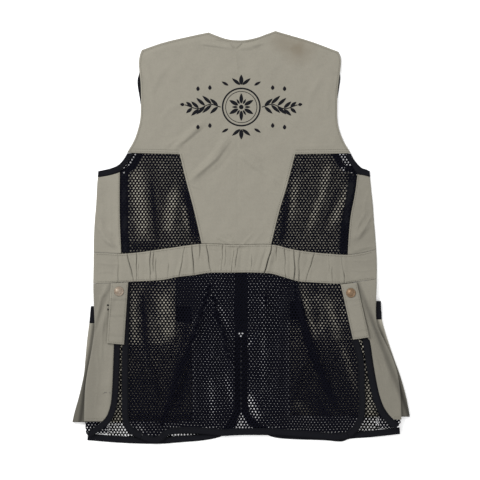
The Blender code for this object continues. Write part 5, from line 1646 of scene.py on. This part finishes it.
def make_looks():
    """All the vest's materials."""
    khaki("khaki", COTTON, stained=True)
    # Painted shade: the waistband is darker towards its right end and a little towards its left end.
    khaki("khaki_band", COTTON, fades=((0, 40.0, 250.0, 0.86), (0, -190.0, -250.0, 0.94)))
    # Painted light and shade: the left side strip is a lighter copy of the cotton, darker towards
    # its fold; the right one is a darker copy.
    khaki("khaki_side_left", tint(1.04), fades=((0, -225.0, -268.0, 0.9),))
    khaki("khaki_side_right", tint(0.86))
    # Painted shade: the hips are darker copies of the cotton, the left darker towards its fold and
    # the right towards its bottom, each with a painted shadow along its crease.
    khaki("khaki_hip_left", tint(0.87), fades=((0, -250.0, -272.0, 0.86),),
          shaded=(((0.947, -0.320), -201.3, 4.5, 0.84),))
    khaki("khaki_hip_right", tint(0.88), fades=((1, -110.0, -180.0, 0.88),),
          shaded=(((0.928, 0.372), 166.8, 8.0, 0.62),))
    # Painted shade: the straps are a darker copy of the cotton.
    khaki("khaki_tab", tint(0.90))
    # Painted light and shade: the pocket leaves are a much lighter copy of the cotton, darkened
    # towards their outer edges and their bottoms, with a painted shadow along the line where the
    # hip's fold lies over them.
    khaki("khaki_pocket_left", tint(2.8),
          fades=((0, -238.0, -262.0, 0.35), (1, -200.0, -262.0, 0.45)),
          shaded=(((-0.990, 0.141), 246.0, 5.5, 0.45),))
    khaki("khaki_pocket_right", tint(2.8),
          fades=((0, 238.0, 262.0, 0.34), (1, -200.0, -262.0, 0.44)),
          shaded=(((0.949, 0.3155), 190.4, 5.5, 0.45),))
    # Painted light: a lighter copy of the cotton for the upper fronts and the inner pockets, which
    # are mostly seen through the net.
    khaki("khaki_inside_painted_light", tint(1.5))
    look = Look("khaki_thread")
    strands = look.wave(0.45, "DIAGONAL", 1.5)
    look.colour(look.mix(shade(tint(0.66), 0.8), shade(tint(0.66), 1.25), strands))
    look.set(Roughness=0.8, Specular_IOR_Level=0.15)
    look.bump(strands, 0.12)

    dark("black_thread", 0.0035, 0.0060, 0.7, (0.45, "DIAGONAL"), 0.2)
    dark("ink_thread", 0.05, 0.07, 0.8, (0.45, "X"), 0.1)
    dark("embroidery", 0.0050, 0.0095, 0.6, (0.45, "X"), 0.35)
    dark("net", 0.0019, 0.0036, 0.75, (0.7, "Y"), 0.30, 2200.0, 2.1)
    # Painted light: the front's net is a paler copy of the net, greyer under the middle of the
    # pouch, and darkened to about the net's black beside the pouch and below it.
    dark("net_under_painted_light", 0.0180, 0.0280, 0.75, (0.7, "Y"), 0.30, 2200.0, 1.5,
         ((0, 80.0, 98.0, 0.13), (0, -80.0, -98.0, 0.13), (1, -316.0, -325.0, 0.13)))
    dark("zip", 0.0120, 0.0180, 0.85, (0.8, "DIAGONAL"), 0.45, 1800.0)
    dark("tape", 0.0050, 0.0085, 0.85, (0.8, "DIAGONAL"), 0.45, 1800.0)

    for name, light, deep, rough in (
        ("brass_left", (0.31, 0.265, 0.215, 1.0), (0.24, 0.185, 0.14, 1.0), 0.58),
        ("brass_right", (0.215, 0.148, 0.095, 1.0), (0.145, 0.095, 0.058, 1.0), 0.55),
        ("metal", (0.75, 0.75, 0.76, 1.0), (0.42, 0.42, 0.44, 1.0), 0.28),
        ("dark_metal", (0.022, 0.022, 0.025, 1.0), (0.010, 0.010, 0.012, 1.0), 0.6),
    ):
        look = Look(name)
        worn = look.spread(look.noise(420.0, 5.0, 0.65), 0.0, 1.0, 0.38, 0.66)
        look.colour(look.mix(light, deep, worn))
        look.set(Metallic=1.0)
        rough = look.spread(worn, rough - 0.06, rough + 0.12)
        look.tree.links.new(rough, look.shader.inputs["Roughness"])
        look.bump(worn, 0.03)


# Stage

# Straight above the vest, and long enough for 480 pixels of 1.85 mm across
CAMERA_PLACE = (-0.00185, -0.0046, 3.0)
CAMERA_LENS = 121.6
# The soft key light comes from the upper left: name, place, size, power
LIGHTS = (
    ("key", (-1.6, 1.5, 1.9), 1.2, 66.0),
    ("fill", (1.8, -0.8, 2.2), 1.8, 14.0),
)
SKY = 0.86  # strength of the even white light from all round


def stage():
    """Pale floor, soft studio light, and the camera."""
    bpy.ops.mesh.primitive_plane_add(size=8.0, location=(0, 0, -0.0001))
    floor = bpy.context.object
    floor.name = "floor"
    look = Look("floor")
    look.colour(look.mix((0.965, 0.965, 0.967, 1.0), (0.975, 0.975, 0.977, 1.0),
                         look.noise(3.0)))
    look.set(Roughness=0.9, Specular_IOR_Level=0.1, Emission_Color=(1.0, 1.0, 1.0, 1.0),
             Emission_Strength=0.14)
    floor.data.materials.append(look.material)

    world = bpy.data.worlds.new("studio")
    world.use_nodes = True
    background = world.node_tree.nodes["Background"]
    background.inputs["Color"].default_value = (1.0, 1.0, 1.0, 1.0)
    background.inputs["Strength"].default_value = SKY
    bpy.context.scene.world = world
    for name, place, size, power in LIGHTS:
        light = bpy.data.lights.new(name, "AREA")
        light.size = size
        light.energy = power
        lamp = bpy.data.objects.new(name, light)
        lamp.location = place
        lamp.rotation_euler = (-Vector(place)).to_track_quat("-Z", "Y").to_euler()
        bpy.context.scene.collection.objects.link(lamp)

    camera = bpy.data.cameras.new("camera")
    camera.sensor_width = 36.0
    camera.lens = CAMERA_LENS
    camera.clip_end = 20.0
    eye = bpy.data.objects.new("camera", camera)
    eye.location = CAMERA_PLACE
    bpy.context.scene.collection.objects.link(eye)
    bpy.context.scene.camera = eye
    bpy.context.scene.view_settings.view_transform = "Standard"


make_looks()
stage()
back_panel()
insets()
seam_tapes()
waistband()
pouch()
side_strips()
low_armhole_bindings()
hips()
tabs()
fronts()
inner_pockets()
zip_parts()
bellows()
ornament()
marks()
join_stitches()
